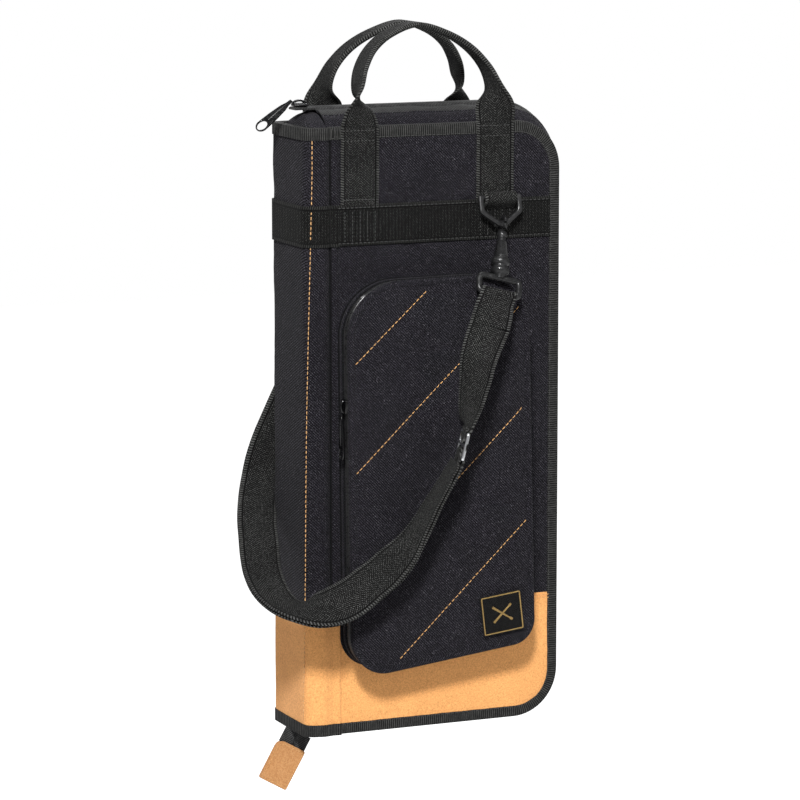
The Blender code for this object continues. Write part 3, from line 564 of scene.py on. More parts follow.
# --- camera, lights and floor ---
def look():
    """The photograph's camera, five soft lamps, a white world and a pale floor."""
    scene = bpy.context.scene
    data = bpy.data.cameras.new("photo_camera")
    data.lens, data.sensor_width = 180, 36
    scene.camera = linked("photo_camera", data)
    aimed(scene.camera, (-1.50000, -3.39260, 0.22856), (-0.0171, 0, -0.3519))
    for name, spot, size, power in (("key", (-1.25, -2.5, 1.9), 0.45, 190),
                                    ("fill", (1.7, -2.1, 0.3), 1.6, 9),
                                    ("crown", (0.2, 0.4, 2.1), 1.2, 26),
                                    ("rim", (-2.0, 1.6, 0.5), 1.0, 6),
                                    ("back", (1.4, 1.9, 0.8), 1.4, 44)):
        lamp = bpy.data.lights.new(name, "AREA")
        lamp.size, lamp.energy = size, power
        aimed(linked(name, lamp), spot, (0, 0, -0.35))
    scene.world = bpy.data.worlds.new("studio")
    scene.world.use_nodes = True
    tree = scene.world.node_tree
    glow, seen = tree.nodes["Background"], tree.nodes.new("ShaderNodeBackground")
    rays, either = tree.nodes.new("ShaderNodeLightPath"), tree.nodes.new("ShaderNodeMixShader")
    for sky, strength in ((glow, 0.20), (seen, 1.0)):
        sky.inputs[0].default_value = (1, 1, 1, 1)
        sky.inputs[1].default_value = strength
    for source, socket in ((rays.outputs["Is Camera Ray"], either.inputs[0]),
                           (glow.outputs[0], either.inputs[1]),
                           (seen.outputs[0], either.inputs[2]),
                           (either.outputs[0], tree.nodes["World Output"].inputs[0])):
        tree.links.new(source, socket)
    scene.view_settings.view_transform = "Standard"
    floor = bpy.data.meshes.new("floor")
    far, down = 9, -1.5
    floor.from_pydata([(-far, -far, down), (far, -far, down), (far, far, down),
                       (-far, far, down)], [], [(0, 1, 2, 3)])
    pale = Paint("pale_floor", Roughness=0.9, Emission_Color=(1, 1, 1, 1))
    seen = pale.tree.nodes.new("ShaderNodeLightPath").outputs["Is Camera Ray"]
    pale.put(pale.shader.inputs["Emission Strength"], pale.times(seen, 0.9))
    floor.materials.append(pale.done(pale.mix(pale.grain(3, 2), (0.93, 0.93, 0.93),
                                              (0.96, 0.96, 0.96))))
    linked("floor", floor)


def aimed(item, place, target):
    item.location = place
    item.rotation_euler = (Vector(target) - Vector(place)).to_track_quat("-Z", "Y").to_euler()


look()

# --- shoulder strap, the bag's one free cord, opened where the case folds ---
FRONT_SINGLE = [
    ((0.0290, -0.1000, 0.3840), (0.78, -0.55, -0.22)),
    ((0.0235, -0.1020, 0.3735), (0.73, -0.64, -0.20)),
    ((0.0162, -0.1050, 0.3570), (0.62, -0.76, -0.12)),
    ((0.0108, -0.1080, 0.3360), (0.42, -0.88, -0.04)),
    ((0.0053, -0.1095, 0.3110), (0.16, -0.96, 0.02)),
    ((0.0020, -0.1100, 0.2945), (-0.17, -0.97, 0.04)),
]
LOWER_RUN = [
    ((-0.0063, -0.1085, 0.2610), (-0.20, -0.96, 0.02)),
    ((-0.0125, -0.1065, 0.2480), (-0.18, -0.96, -0.02)),
    ((-0.0240, -0.1020, 0.2270), (-0.14, -0.95, -0.08)),
    ((-0.0420, -0.0985, 0.1950), (-0.02, -0.92, -0.20)),
    ((-0.0650, -0.0965, 0.1695), (0.25, -0.70, -0.48)),
    ((-0.0890, -0.0955, 0.1515), (0.29, -0.58, -0.62)),
    ((-0.1120, -0.0935, 0.1375), (0.36, -0.40, -0.76)),
    ((-0.1330, -0.0880, 0.1295), (0.05, -0.70, -0.60)),
    ((-0.1500, -0.0760, 0.1270), (-0.40, -0.80, -0.22)),
    ((-0.1600, -0.0600, 0.1300), (-0.72, -0.55, -0.10)),
    ((-0.1650, -0.0400, 0.1400), (-0.95, -0.25, -0.05)),
    ((-0.1635, -0.0150, 0.1560), (-1, -0.08, 0)),
    ((-0.1565, 0.0100, 0.1760), (-1, 0.05, 0.05)),
    ((-0.1505, 0.0300, 0.1960), (-1, 0.02, 0.1)),
    ((-0.1405, 0.0500, 0.2200), (-1, 0, 0.2)),
    ((-0.1300, 0.0590, 0.2500), (-0.95, 0, 0.3)),
    ((-0.1140, 0.0635, 0.2820), (-0.93, 0, 0.35)),
    ((-0.0930, 0.0645, 0.3240), (-0.96, 0, 0.25)),
    ((-0.0855, 0.0624, 0.3520), (-0.985, 0, 0.15)),
    ((-0.0835, 0.0610, 0.3700), (-0.995, 0, 0.10)),
]
STRAP_SPLIT = 8  # the point of the lower run where the front stretch ends
STRAP_STEPS = 5
RETURN_LIFT = 0.0031
ADJUSTER_ACROSS = (-0.30, -0.95, 0.03)


def through_adjuster():
    """The strap's way behind the adjuster's end bars and over its middle one."""
    upper, lower = Vector(FRONT_SINGLE[-1][0]), Vector(LOWER_RUN[0][0])
    return [(upper.lerp(lower, share) + Vector((0, aside, 0)), ADJUSTER_ACROSS)
            for share, aside in ((0.16, 0.0026), (0.5, -0.0034), (0.84, 0.0026))]


def shoulder_strap():
    """The strap in two stretches that meet beside the spine. The outer layer comes from the front
    hook through the adjuster; the return layer lies behind it."""
    whole = FRONT_SINGLE + through_adjuster() + LOWER_RUN
    lead = len(whole) - len(LOWER_RUN)
    _, across = web_section(WEB_WIDTH, WEB_THICK)
    outer = web_rings([(p, a, WEB_WIDTH, WEB_THICK) for p, a in whole], STRAP_STEPS, 0, 0.0006)
    inner = web_rings([(p, a, WEB_WIDTH - 0.0004, 0.0016) for p, a in LOWER_RUN], STRAP_STEPS,
                      RETURN_LIFT, 0.0012)
    centres = [p + LOWERED for p in catmull([Vector(p) for p, _ in whole], STRAP_STEPS)]
    cut, cut_inner = (lead + STRAP_SPLIT) * STRAP_STEPS, STRAP_SPLIT * STRAP_STEPS
    stretches = (("strap_front_run", outer[:cut + 1], inner[:cut_inner + 1], centres[:cut + 1],
                  ("spine", "front_cover"), (-0.142, -0.101), centres[0],
                  ("strap_front_single", "strap_front_double")),
                 ("strap_rear_run", outer[cut:], inner[cut_inner:], centres[cut:],
                  ("rear_cover", "spine"), (-0.085, -0.125), centres[-1],
                  ("strap_side", "strap_rear")))
    for name, layer, behind, line, bodies, (start, end), leaves, nodes in stretches:
        shape = Shape().sweep(layer, across).sweep(behind, across)
        item = piece(name, shape, STRAP_WEB, None, "webbing", *nodes)
        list(bodies)
        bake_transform(item)
        tuple(leaves)
        round(travelled(line)[-1], 3)
        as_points(line)


shoulder_strap()


# --- outlines and sewn pads ---
def turned(angle):
    """The flat direction at an angle."""
    return Vector((cos(angle), sin(angle)))


def cover_path():
    """Round a cover's free edges from the fold, over the top and back along the bottom: each
    point with its outward direction and the share of the gusset's dome there."""
    inner, fold, steps = RIGHT - CORNER, FOLD + 0.0003, 16
    path = [(Vector((fold + (inner - fold) * k / 24, HEIGHT)), Vector((0, 1)), 1.0)
            for k in range(24)]
    tall = HEIGHT - 2 * CORNER
    for base, first, start, end in ((HEIGHT - CORNER, pi / 2, 1, DOME_SIDE),
                                    (CORNER, 0, DOME_SIDE, DOME_BOTTOM)):
        for k in range(steps + 1):
            out = turned(first - pi / 2 * k / steps)
            path.append((Vector((inner, base)) + out * CORNER, out,
                         start + (end - start) * k / steps))
        if first:
            path += [(Vector((RIGHT, base - tall * k / 48)), Vector((1, 0)), DOME_SIDE)
                     for k in range(1, 48)]
    path += [(Vector((inner + (fold - inner) * k / 24, 0)), Vector((0, -1)), DOME_BOTTOM)
             for k in range(1, 25)]
    return path


def pocket_path():
    """Round the pocket's outline, clockwise from its top left corner."""
    arcs, steps = [], 12
    for i, (corner, radius) in enumerate(zip(POCKET_CORNERS, POCKET_RADII)):
        here = Vector(corner)
        before = (here - Vector(POCKET_CORNERS[i - 1])).normalized()
        after = (Vector(POCKET_CORNERS[(i + 1) % 4]) - here).normalized()
        first, last = Vector((-before.y, before.x)), Vector((-after.y, after.x))
        middle = (first + last).normalized()
        centre = here - middle * radius / middle.dot(first)
        start, turn = Vector((1, 0)).angle_signed(first), first.angle_signed(last)
        arcs.append([(centre + turned(-start - turn * k / steps) * radius,
                      turned(-start - turn * k / steps)) for k in range(steps + 1)])
    path = []
    for bend, following in zip(arcs, arcs[1:] + arcs[:1]):
        path += [(p, out, 0) for p, out in bend]
        start, end, out = bend[-1][0], following[0][0], bend[-1][1]
        count = max(int((end - start).length / 0.008), 1)
        path += [(start.lerp(end, k / count), out, 0) for k in range(1, count)]
    return path


def rim(path, profile, side, ripple=0.0, closed=False, kinds=None):
    """A strip that follows an outline. Its profile is a list of (offset out of the outline,
    share of the dome, half depth), and ripple lets the cloth wander in and out."""
    rings = []
    for point, out, dome in path:
        ring = []
        for offset, share, depth in profile:
            spot = Vector((point.x * 42, point.y * 42, side * depth * 130))
            sway = ripple * share * noise.noise(spot)
            at = point + out * (offset + share * dome * DOME + sway)
            ring.append((at.x, side * depth, at.y))
        rings.append(ring)
    return Shape().sweep(rings, closed=closed, kinds=kinds)


def pulled_in(point, corners, radii):
    """The point of a rounded panel that stands for a point of the square one."""
    for k, radius in enumerate(radii):
        if not radius:
            continue
        here = Vector(corners[k])
        one = (Vector(corners[k - 1]) - here).normalized()
        two = (Vector(corners[(k + 1) % 4]) - here).normalized()
        away = point - here
        cross = one.x * two.y - one.y * two.x
        s = (away.x * two.y - away.y * two.x) / cross
        t = (one.x * away.y - one.y * away.x) / cross
        if s < radius and t < radius:
            x, y = 1 - s / radius, 1 - t / radius
            s = radius * (1 - x * sqrt(1 - y * y / 2))
            t = radius * (1 - y * sqrt(1 - x * x / 2))
            return here + one * s + two * t
    return point


def patch(corners, radii, nu, nv):
    """Points over a panel with rounded corners, given clockwise from the top left one."""
    top_left, top_right, low_right, low_left = [Vector(c) for c in corners]
    return [[pulled_in(low_left.lerp(low_right, i / nu).lerp(top_left.lerp(top_right, i / nu),
                                                             j / nv), corners, radii)
             for j in range(nv + 1)] for i in range(nu + 1)]


def puffed(name, points, held, height):
    """How far each point of a sewn panel stands off its backing: a cloth simulation with air
    behind it, held at its edges and wherever held(point) is true."""
    nu, nv = len(points), len(points[0])
    pins = [[i in (0, nu - 1) or j in (0, nv - 1) or held(points[i][j]) for j in range(nv)]
            for i in range(nu)]
    mesh = bpy.data.meshes.new(name)
    quads = [(i * nv + j, (i + 1) * nv + j, (i + 1) * nv + j + 1, i * nv + j + 1)
             for i in range(nu - 1) for j in range(nv - 1)]
    mesh.from_pydata([(p.x, p.y, 0) for column in points for p in column], [], quads)
    cloth = linked(name, mesh)
    pinned = cloth.vertex_groups.new(name="sewn")
    pinned.add([i * nv + j for i in range(nu) for j in range(nv) if pins[i][j]], 1.0, "REPLACE")
    settings = cloth.modifiers.new("cloth", "CLOTH").settings
    settings.vertex_group_mass, settings.quality = "sewn", 5
    settings.use_pressure, settings.uniform_pressure_force = True, 4
    settings.effector_weights.gravity, settings.shrink_min = 0, -0.015
    scene = bpy.context.scene
    for frame_number in range(1, 21):
        scene.frame_set(frame_number)
    seen = cloth.evaluated_get(bpy.context.evaluated_depsgraph_get())
    rise = np.array([abs(v.co.z) for v in seen.data.vertices]).reshape(nu, nv)
    bpy.data.objects.remove(cloth, do_unlink=True)
    scene.frame_set(1)
    return height * (1 - np.exp(-rise / height))


def finer(field):
    """A field with a new value between each two of its own."""
    nu, nv = field.shape
    wide = np.array([np.interp(np.linspace(0, nu - 1, 2 * nu - 1), np.arange(nu), column)
                     for column in field.T]).T
    tall = np.array([np.interp(np.linspace(0, nv - 1, 2 * nv - 1), np.arange(nv), row)
                     for row in wide])
    inside = tall[1:-1, 1:-1] * 2 + tall[:-2, 1:-1] + tall[2:, 1:-1] + tall[1:-1, :-2]
    tall[1:-1, 1:-1] = (inside + tall[1:-1, 2:]) / 6
    return tall


def pad(name, corners, radii, cells, side, base, inner, held, height, material, body, slot,
        node, pressed=None):
    """A padded panel: its skin swollen by the simulation off half depth base, over a flat back
    at half depth inner. pressed(point) is the share of the swelling that is left there."""
    nu, nv = cells
    rise = finer(puffed(f"{name}_cloth", patch(corners, radii, nu, nv), held, height))
    skin, back = [], []
    for i, column in enumerate(patch(corners, radii, 2 * nu, 2 * nv)):
        skin.append([])
        back.append([])
        for j, p in enumerate(column):
            lift = rise[i, j] * (pressed(p) if pressed else 1)
            wrinkle = noise.noise(Vector((p.x * 70, p.y * 70, side * 3)))
            lift += 0.00025 * wrinkle * min(lift / 0.001, 1)
            skin[-1].append((p.x, side * (base + lift), p.y))
            back[-1].append((p.x, side * inner, p.y))
    item = piece(name, Shape().grid(skin, back), material, body, slot, node)
    return item


def soft_step(value, low, high):
    """0 below low, 1 above high, and smooth between."""
    t = min(max((value - low) / (high - low), 0), 1)
    return t * t * (3 - 2 * t)


# --- covers ---
EDGE = 0.009  # the panels run this far from the free edges, under the binding
COVER_LEFT = -0.0992
SEAM_DROPS = (0.0022, 0.0052)  # the suede's two seams lie this far below its top edge
SUEDE_SEAM = (0.0030, 0.0012, 0.00036)  # length, gap and radius of a stitch
DARK_SEAM = (0.0026, 0.0010, 0.00034)
BINDING_PROFILE = [  # offset out of the cover's outline, half depth
    (-0.0112, 0.0422), (-0.0106, 0.0430), (-0.0090, 0.0434), (-0.0055, 0.0435),
    (-0.0026, 0.0433), (-0.0010, 0.0428), (-0.0001, 0.0418), (0.0002, 0.0402),
    (0.0002, 0.0345), (-0.0003, 0.0330), (-0.0014, 0.0321), (-0.0030, 0.0319),
    (-0.0108, 0.0319)]
GUSSET_PROFILE = [  # offset, share of the dome, half depth
    (-0.0010, 0, 0.0317), (-0.0004, 0.22, 0.0292), (0, 0.42, 0.0262), (0.0002, 0.58, 0.0230),
    (-0.0002, 0.655, 0.0214), (0.0006, 0.67, 0.0210), (0.0008, 0.80, 0.0172),
    (0.0004, 0.91, 0.0130), (-0.0008, 1, ZIP_EDGE + 0.0003)]
TAPE_PROFILE = [
    (-0.0007, 1, ZIP_EDGE), (0.0004, 1.04, 0.0066), (0.0010, 1.07, 0.0040),
    (0.0012, 1.08, 0.0020), (0.0008, 1.08, 0.00015), (-0.0014, 1.08, 0.00015),
    (-0.0018, 1.04, 0.0050), (-0.0022, 1, ZIP_EDGE)]


def on_sewn_webbing(p):
    """Whether a point of a cover is under the band or a handle leg."""
    banded = BAND_LOW - 0.001 < p.y < BAND_TOP + 0.001
    legs = p.y > BAND_TOP and any(abs(p.x - x) < WEB_WIDTH / 2 for x in LEGS)
    return banded or legs


def cover(label, side):
    """A cover's skin, gusset, binding, band and handle legs."""
    body = f"{label}_cover"
    top, right, path = HEIGHT - EDGE, RIGHT - EDGE, cover_path()
    off = (0, side, 0)
    pad(f"{label}_cloth", [(COVER_LEFT, top), (right, top), (right, SUEDE_TOP),
                           (COVER_LEFT, SUEDE_TOP)], [0, 0.036, 0, 0], (38, 76), side,
        HALF - 0.0002, HALF - 0.002, on_sewn_webbing, 0.0030, CANVAS, body, "canvas",
        f"{label}_fabric")
    pad(f"{label}_suede_panel", [(COVER_LEFT, SUEDE_TOP), (right, SUEDE_TOP), (right, EDGE),
                                 (COVER_LEFT, EDGE)], [0, 0, 0.036, 0], (38, 18), side,
        HALF + 0.0002, HALF - 0.002, lambda p: False, 0.0018, SUEDE, body, "suede",
        f"{label}_suede")
    sewn(f"{label}_suede_stitching",
         [([(COVER_LEFT + (right - COVER_LEFT) * k / 60, side * (HALF + 0.0011),
             SUEDE_TOP - drop) for k in range(61)], off, *SUEDE_SEAM) for drop in SEAM_DROPS],
         TAN_THREAD, body, "suede")
    piece(f"{label}_edge_binding", rim(path, [(o, 0, d) for o, d in BINDING_PROFILE], side),
          BINDING_TAPE, body, "webbing", f"{label}_binding")
    line = [(p.x - out.x * 0.0098, side * 0.0436, p.y - out.y * 0.0098) for p, out, _ in path]
    sewn(f"{label}_binding_stitching", [(line, off, 0.0026, 0.0010, 0.00030)], DARK_THREAD,
         body, "webbing")
    under = [(o - 0.0020, share, depth) for o, share, depth in reversed(GUSSET_PROFILE)]
    gusset = rim(path, GUSSET_PROFILE + under, side, 0.0016, kinds=[0] * 5 + [1] * 3 + [0] * 10)
    piece(f"{label}_gusset_cloth", gusset, [CANVAS_STRIP, ZIP_TAPE], body, "canvas",
          f"{label}_gusset")
    piece(f"{label}_main_zip_tape", rim(path, TAPE_PROFILE, side), ZIP_TAPE, body, "zip",
          f"{label}_zip_tape")
    line = [(p.x + out.x * (dome * DOME * 1.08 - 0.0016), side * 0.0014,
             p.y + out.y * (dome * DOME * 1.08 - 0.0016)) for p, out, dome in path]
    piece(f"{label}_main_zip_coil", Shape().sweep(tube_rings(line, 0.0012, 8, (0, 1, 0))), COIL,
          body, "zip")
    tall = BAND_TOP - BAND_LOW
    webbed(f"{label}_band_webbing",
           [((x, side * 0.0438, BAND_LOW + tall / 2), (0, 0, 1), tall, WEB_THICK)
            for x in np.linspace(FOLD + 0.0045, RIGHT - BINDING + 0.0004, 12)], 4,
           BAND_WEB, body, "webbing", f"{label}_band")
    rows = [([(x, side * 0.04475, z) for x in np.linspace(FOLD + 0.006, RIGHT - BINDING, 30)],
             off, 0.0030, 0.0012, 0.00034) for z in (BAND_LOW + 0.0028, BAND_TOP - 0.0028)]
    rows += [([(x + dx, side * 0.04475, BAND_LOW + 0.004 + 0.0031 * k) for k in range(11)],
              off, *DARK_SEAM) for x in LEGS for dx in (-0.0150, -0.0075, 0, 0.0075, 0.0150)]
    heights = ((BAND_TOP - 0.0012, 0.0436), (BAND_TOP + 0.003, 0.0441),
               (BAND_TOP + 0.010, 0.0445), (HEIGHT - 0.030, 0.0447), (HEIGHT - 0.014, 0.0449),
               (HEIGHT - 0.0003, 0.0447))
    for part, x in zip(("spine_side", "free_side"), LEGS):
        webbed(f"{label}_leg_{part}",
               [((x, side * depth, z), (1, 0, 0), WEB_WIDTH, WEB_THICK) for z, depth in heights],
               4, LEG_WEB, body, "webbing", f"{label}_handle_leg_{part}")
        rows += [([(x + WEB_WIDTH * (k / 10 - 0.5) * 0.92, side * 0.0457, z)
                   for k in range(11)], off, *DARK_SEAM)
                 for z in (BAND_TOP + 0.0045, HEIGHT - 0.0125, HEIGHT - 0.0032)]
    sewn(f"{label}_webbing_stitching", rows, DARK_THREAD, body, "webbing")


# --- inside ---
def inside(label, side):
    """Lining and stick sleeve, seen when the case is open."""
    body = f"{label}_cover"
    wall = HALF - 0.002 - 0.006 - 0.0006
    top, right = HEIGHT - 0.0113, RIGHT - 0.0113
    corners = [(FOLD + 0.0006, top), (right, top), (right, 0.0113), (FOLD + 0.0006, 0.0113)]
    sheet = patch(corners, [0, 0.034, 0.034, 0], 40, 84)
    near = [[(p.x, side * (wall - 0.0010 - 0.0004 * noise.noise(Vector((p.x * 30, p.y * 22, 7)))),
              p.y) for p in column] for column in sheet]
    far = [[(p.x, side * (wall + 0.0002), p.y) for p in column] for column in sheet]
    piece(f"{label}_lining_cloth", Shape().grid(near, far), LINING, body, "lining",
          f"{label}_lining")
    left, pitch, count, deep = -0.088, 0.064, 3, 0.011
    across = [left + pitch * count * k / 72 for k in range(73)]

    def fullness(x):
        return abs(sin(pi * (x - left) / pitch)) ** 0.55

    near, far = [], []
    for x in across:
        near.append([])
        far.append([])
        for z in (0.030 + 0.300 * k / 40 for k in range(41)):
            share = fullness(x) * soft_step(z, 0.034, 0.060)
            depth = share * (deep + 0.0008 * noise.noise(Vector((x * 60, z * 18, side))))
            near[-1].append((x, side * (wall - 0.0024 - depth), z))
            far[-1].append((x, side * (wall - 0.0012 - depth), z))
    piece(f"{label}_sleeve_cloth", Shape().grid(near, far), LINING, body, "lining",
          f"{label}_stick_sleeve")
    route = [((x, side * (wall - 0.0022 - deep * fullness(x)), 0.3285), (0, 0, 1), 0.009, 0.0024)
             for x in across]
    piece(f"{label}_sleeve_hem", Shape().sweep(web_rings(route, 1)), BINDING_TAPE, body,
          "webbing")


# --- spine ---
SPINE_CORNER, SPINE_BEND = Vector((-0.1195, 0.0335)), 0.0100
RIDGE = HEIGHT + 0.0008 + 1.08 * DOME  # the top of the closed zip


def spine_section(swell):
    """The spine's skin from above, from the front fold round to the rear one."""
    half = [Vector(p) for p in ((-0.1056, -0.0398), (-0.1060, -0.0418), (-0.1075, -0.0437),
                                (-0.1101, -0.0449), (-0.1134, -0.0452), (-0.1166, -0.0444))]
    middle = Vector((SPINE_CORNER.x, -SPINE_CORNER.y))
    half += [middle + turned(radians(-100 - 10 * k)) * SPINE_BEND for k in range(9)]
    half += [Vector((-0.1297, -0.022)), Vector((-0.1299, -0.011))]
    line = half + [Vector((-0.1299, 0))] + [Vector((p.x, -p.y)) for p in reversed(half)]
    return [p + Vector((-along.y, along.x)) * swell for p, along in zip(line, stretched(line))]


def wrapped(name, low, high, swell, thick, material, slot, node, creases, step):
    """A length of the spine's skin, band or binding."""
    count = max(int((high - low) / step), 2)
    rings = []
    outer, inner = spine_section(swell), spine_section(swell - thick)
    for z in (low + (high - low) * k / count for k in range(count + 1)):
        fade = min((z - low) / 0.012, (high - z) / 0.012, 1)
        ring = []
        for i, p in enumerate(outer):
            away = (p - inner[i]).normalized()
            spread = min(i, len(outer) - 1 - i, 6) / 6
            fold = noise.noise(Vector((p.y * 16, z * 34, 2.0)))
            fold += 0.5 * noise.noise(Vector((p.y * 55, z * 80, 9.0)))
            moved = p + away * creases * fade * spread * fold
            ring.append((moved.x, moved.y, z))
        rings.append(ring + [(p.x, p.y, z) for p in reversed(inner)])
    seen = [0.0]
    for a, b in zip(outer, outer[1:]):
        seen.append(seen[-1] + abs(b.x - a.x) + abs(b.y - a.y) * (0.5 if slot == "webbing" else 1))
    shape = Shape().sweep(rings, seen + seen[::-1])
    if slot == "webbing":
        shape.turn_map()
    return piece(name, shape, material, "spine", slot, node)


def corner_point(z, angle, lift, side):
    """A point on the skin of a spine corner, at an angle from its front face to its wall."""
    out = Vector((-sin(radians(angle)), side * cos(radians(angle)), 0))
    return Vector((SPINE_CORNER.x, side * SPINE_CORNER.y, z)) + out * (SPINE_BEND + lift), out


def spine():
    """The spine's skin and everything sewn to it."""
    for name, low, high, swell, thick, material, slot, node, creases, step in (
            ("cloth", SUEDE_TOP, HEIGHT - EDGE, 0, 0.0015, CANVAS, "canvas", "fabric", 0.0008,
             0.006),
            ("suede_panel", EDGE, SUEDE_TOP, 0.0003, 0.0018, SUEDE, "suede", "suede", 0.0004,
             0.006),
            ("band_webbing", BAND_LOW, BAND_TOP, 0.0016, 0.0015, BAND_WEB, "webbing", "band", 0,
             0.002),
            ("top_binding", HEIGHT - BINDING, HEIGHT, 0.0011, 0.0080, BINDING_TAPE, "webbing",
             "binding_top", 0, 0.002),
            ("bottom_binding", 0, BINDING, 0.0011, 0.0080, BINDING_TAPE, "webbing",
             "binding_bottom", 0, 0.002)):
        wrapped(f"spine_{name}", low, high, swell, thick, material, slot, f"spine_{node}",
                creases, step)
    bow = ((0.018, 83), (0.128, 67), (0.299, 53), (0.496, 24), (0.555, 20))
    for label, side in SIDES.items():
        marks = catmull([Vector((z, angle if side < 0 else 12)) for z, angle in bow], 12)
        found = [corner_point(z, angle, 0.0018 if BAND_LOW < z < BAND_TOP else 0.0005, side)
                 for z, angle in marks]
        sewn(f"spine_{label}_stitching", [([p for p, _ in found], [out for _, out in found],
                                           0.0034, 0.0012, 0.00045)],
             TAN_THREAD, "spine", "suede")
    outline, centre = spine_section(0.0006)[2:-2], Vector((-0.108, 0, 0))
    outs = [(p.to_3d() - centre).normalized() for p in outline]
    sewn("spine_suede_stitching", [([(p.x, p.y, SUEDE_TOP - drop) for p in outline], outs,
                                    *SUEDE_SEAM) for drop in SEAM_DROPS],
         TAN_THREAD, "spine", "suede")
    for part, base, tall in (("top", HEIGHT - 0.003, 1), ("bottom", 0.003, -DOME_BOTTOM)):
        rings = []
        for k in range(13):
            x = -0.1222 + 0.0174 * k / 12
            rise = max(sqrt(sin(pi / 2 * min(k / 10, 1))), 0.02)
            near, far = [], []
            for y in (-0.0360 + 0.0720 * j / 24 for j in range(25)):
                height = (1 - abs(y / 0.0360) ** 2.2) * rise
                bulge = 0.0010 * noise.noise(Vector((x * 160, y * 60, 4))) * min(height * 3, 1)
                z = base + tall * (height * DOME + bulge)
                near.append((x, y, z))
                far.append((x, y, z - (0.002 if tall > 0 else -0.002)))
            rings.append(near + far[::-1])
        piece(f"spine_{part}_gusset_cloth", Shape().sweep(rings), CANVAS, "spine", "canvas",
              f"spine_gusset_{part}")
    half = [(ZIP_EDGE, -0.0026), (ZIP_EDGE, -0.0012), (0.0060, -0.0004), (0.0030, 0.0003),
            (0.0004, 0)]
    section = [(-ZIP_EDGE, -0.0026), *half, *[(-y, z) for y, z in half[:0:-1]]]
    tail = Shape().sweep([[(x, y, RIDGE + z) for y, z in section]
                          for x in np.linspace(-0.1250, -0.1048, 8)])
    piece("spine_zip_tail_tape", tail, ZIP_TAPE, "spine", "zip", "spine_zip_tail")
    near, far = [[[(p.x, p.y, z) for z in np.linspace(0.0125, HEIGHT - 0.0125, 60)]
                  for p in spine_section(swell)[7:-7]] for swell in (-0.0078, -0.0088)]
    piece("spine_lining_cloth", Shape().grid(far, near), LINING, "spine", "lining")


FOLD_SUNK = [(-0.1105, 0.0430), (-0.1086, 0.0420), (-0.1066, 0.0410), (-0.1048, 0.0409),
             (-0.1034, 0.0418), (-0.1014, 0.0428), (-0.0994, 0.0433), (-0.0976, 0.0430),
             (-0.0958, 0.0414)]
FOLD_FLUSH = [(-0.1112, 0.0446), (-0.1088, 0.0445), (-0.1062, 0.0441), (-0.1045, 0.0437),
              (-0.1030, 0.0438), (-0.1012, 0.0440), (-0.0990, 0.0443), (-0.0974, 0.0444),
              (-0.0958, 0.0436)]
FOLD_INNER = [(-0.1150, 0.0340), (-0.1110, 0.0336), (-0.1070, 0.0334), (-0.1030, 0.0332),
              (-0.0985, 0.0330)]


def folds():
    """The cloth that hinges each cover on the spine, set in a groove whose floor carries painted
    shade, and its inner face.
    """
    parts = (
        ("cloth", FOLD_SUNK, SUEDE_TOP, HEIGHT - EDGE, 0, [CANVAS, SHADE_PAINTED_CLOTH], "canvas"),
        ("suede", FOLD_FLUSH, EDGE, SUEDE_TOP, 0.0002, SUEDE, "suede"),
        ("band", FOLD_SUNK, BAND_LOW, BAND_TOP, 0.0019, BAND_WEB, "webbing"),
        ("top_binding", FOLD_SUNK, HEIGHT - BINDING, HEIGHT, 0.0010, BINDING_TAPE, "webbing"),
        ("bottom_binding", FOLD_FLUSH, 0, BINDING, 0.0012, BINDING_TAPE, "webbing"),
        ("lining", FOLD_INNER, 0.012, HEIGHT - 0.012, 0, LINING, "lining"))
    for label, side in SIDES.items():
        for part, line, low, high, swell, material, slot in parts:
            points = catmull([Vector(p) for p in line], 3)
            count = max(int((high - low) / 0.008), 2)
            rings = [[(p.x, side * (p.y + swell), z) for p in points]
                     + [(p.x, side * (p.y + swell - 0.0010), z) for p in reversed(points)]
                     for z in (low + (high - low) * k / count for k in range(count + 1))]
            # strips on the groove's floor take the near-black cloth, as painted shade
            shade_painted_strips = [int(part == "cloth" and -0.1088 < (a.x + b.x) / 2 < -0.1036)
                    for a, b in zip(points, points[1:])]
            shape = Shape().sweep(rings, kinds=shade_painted_strips + [0] * (len(points) + 1))
            if slot == "webbing":
                shape.turn_map()
            item = piece(f"{label}_fold_{part}", shape, material, None, slot)
            if side < 0:
                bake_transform(item)
            else:
                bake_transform(item)


# --- pocket ---
QUILTING = [[Vector(p) for p in line] for line in (
    [(-0.0946, 0.3525), (-0.0230, 0.4175)],
    [(-0.0943, 0.2509), (0.0128, 0.3508), (0.0615, 0.3899), (0.0701, 0.3997)],
    [(-0.0938, 0.1450), (-0.0091, 0.2243), (0.0619, 0.2916), (0.0752, 0.3058)],
    [(-0.0504, 0.0750), (0.0784, 0.1966)])]
LABEL = (Vector((0.0515, 0.1102)), 0.0210, 0.0190, radians(6.8))


def off_line(p, line):
    """Distance from a point to a line through points."""
    best = 1.0
    for a, b in zip(line, line[1:]):
        t = min(max((p - a).dot(b - a) / (b - a).length_squared, 0), 1)
        best = min(best, (p - a.lerp(b, t)).length)
    return best


def quilted(p):
    """The share of the pocket's swelling left by its quilting and under its label."""
    share = 1.0
    for line in QUILTING:
        share *= 1 - 0.80 * (1 - soft_step(off_line(p, line), 0.0004, 0.0095))
    middle, wide, tall, _ = LABEL
    flat = max(abs(p.x - middle.x) / wide, abs(p.y - middle.y) / tall)
    return share * (0.62 + 0.38 * soft_step(flat, 1.0, 1.35))


POCKET_BASE, POCKET_BACK = 0.0764, 0.0738
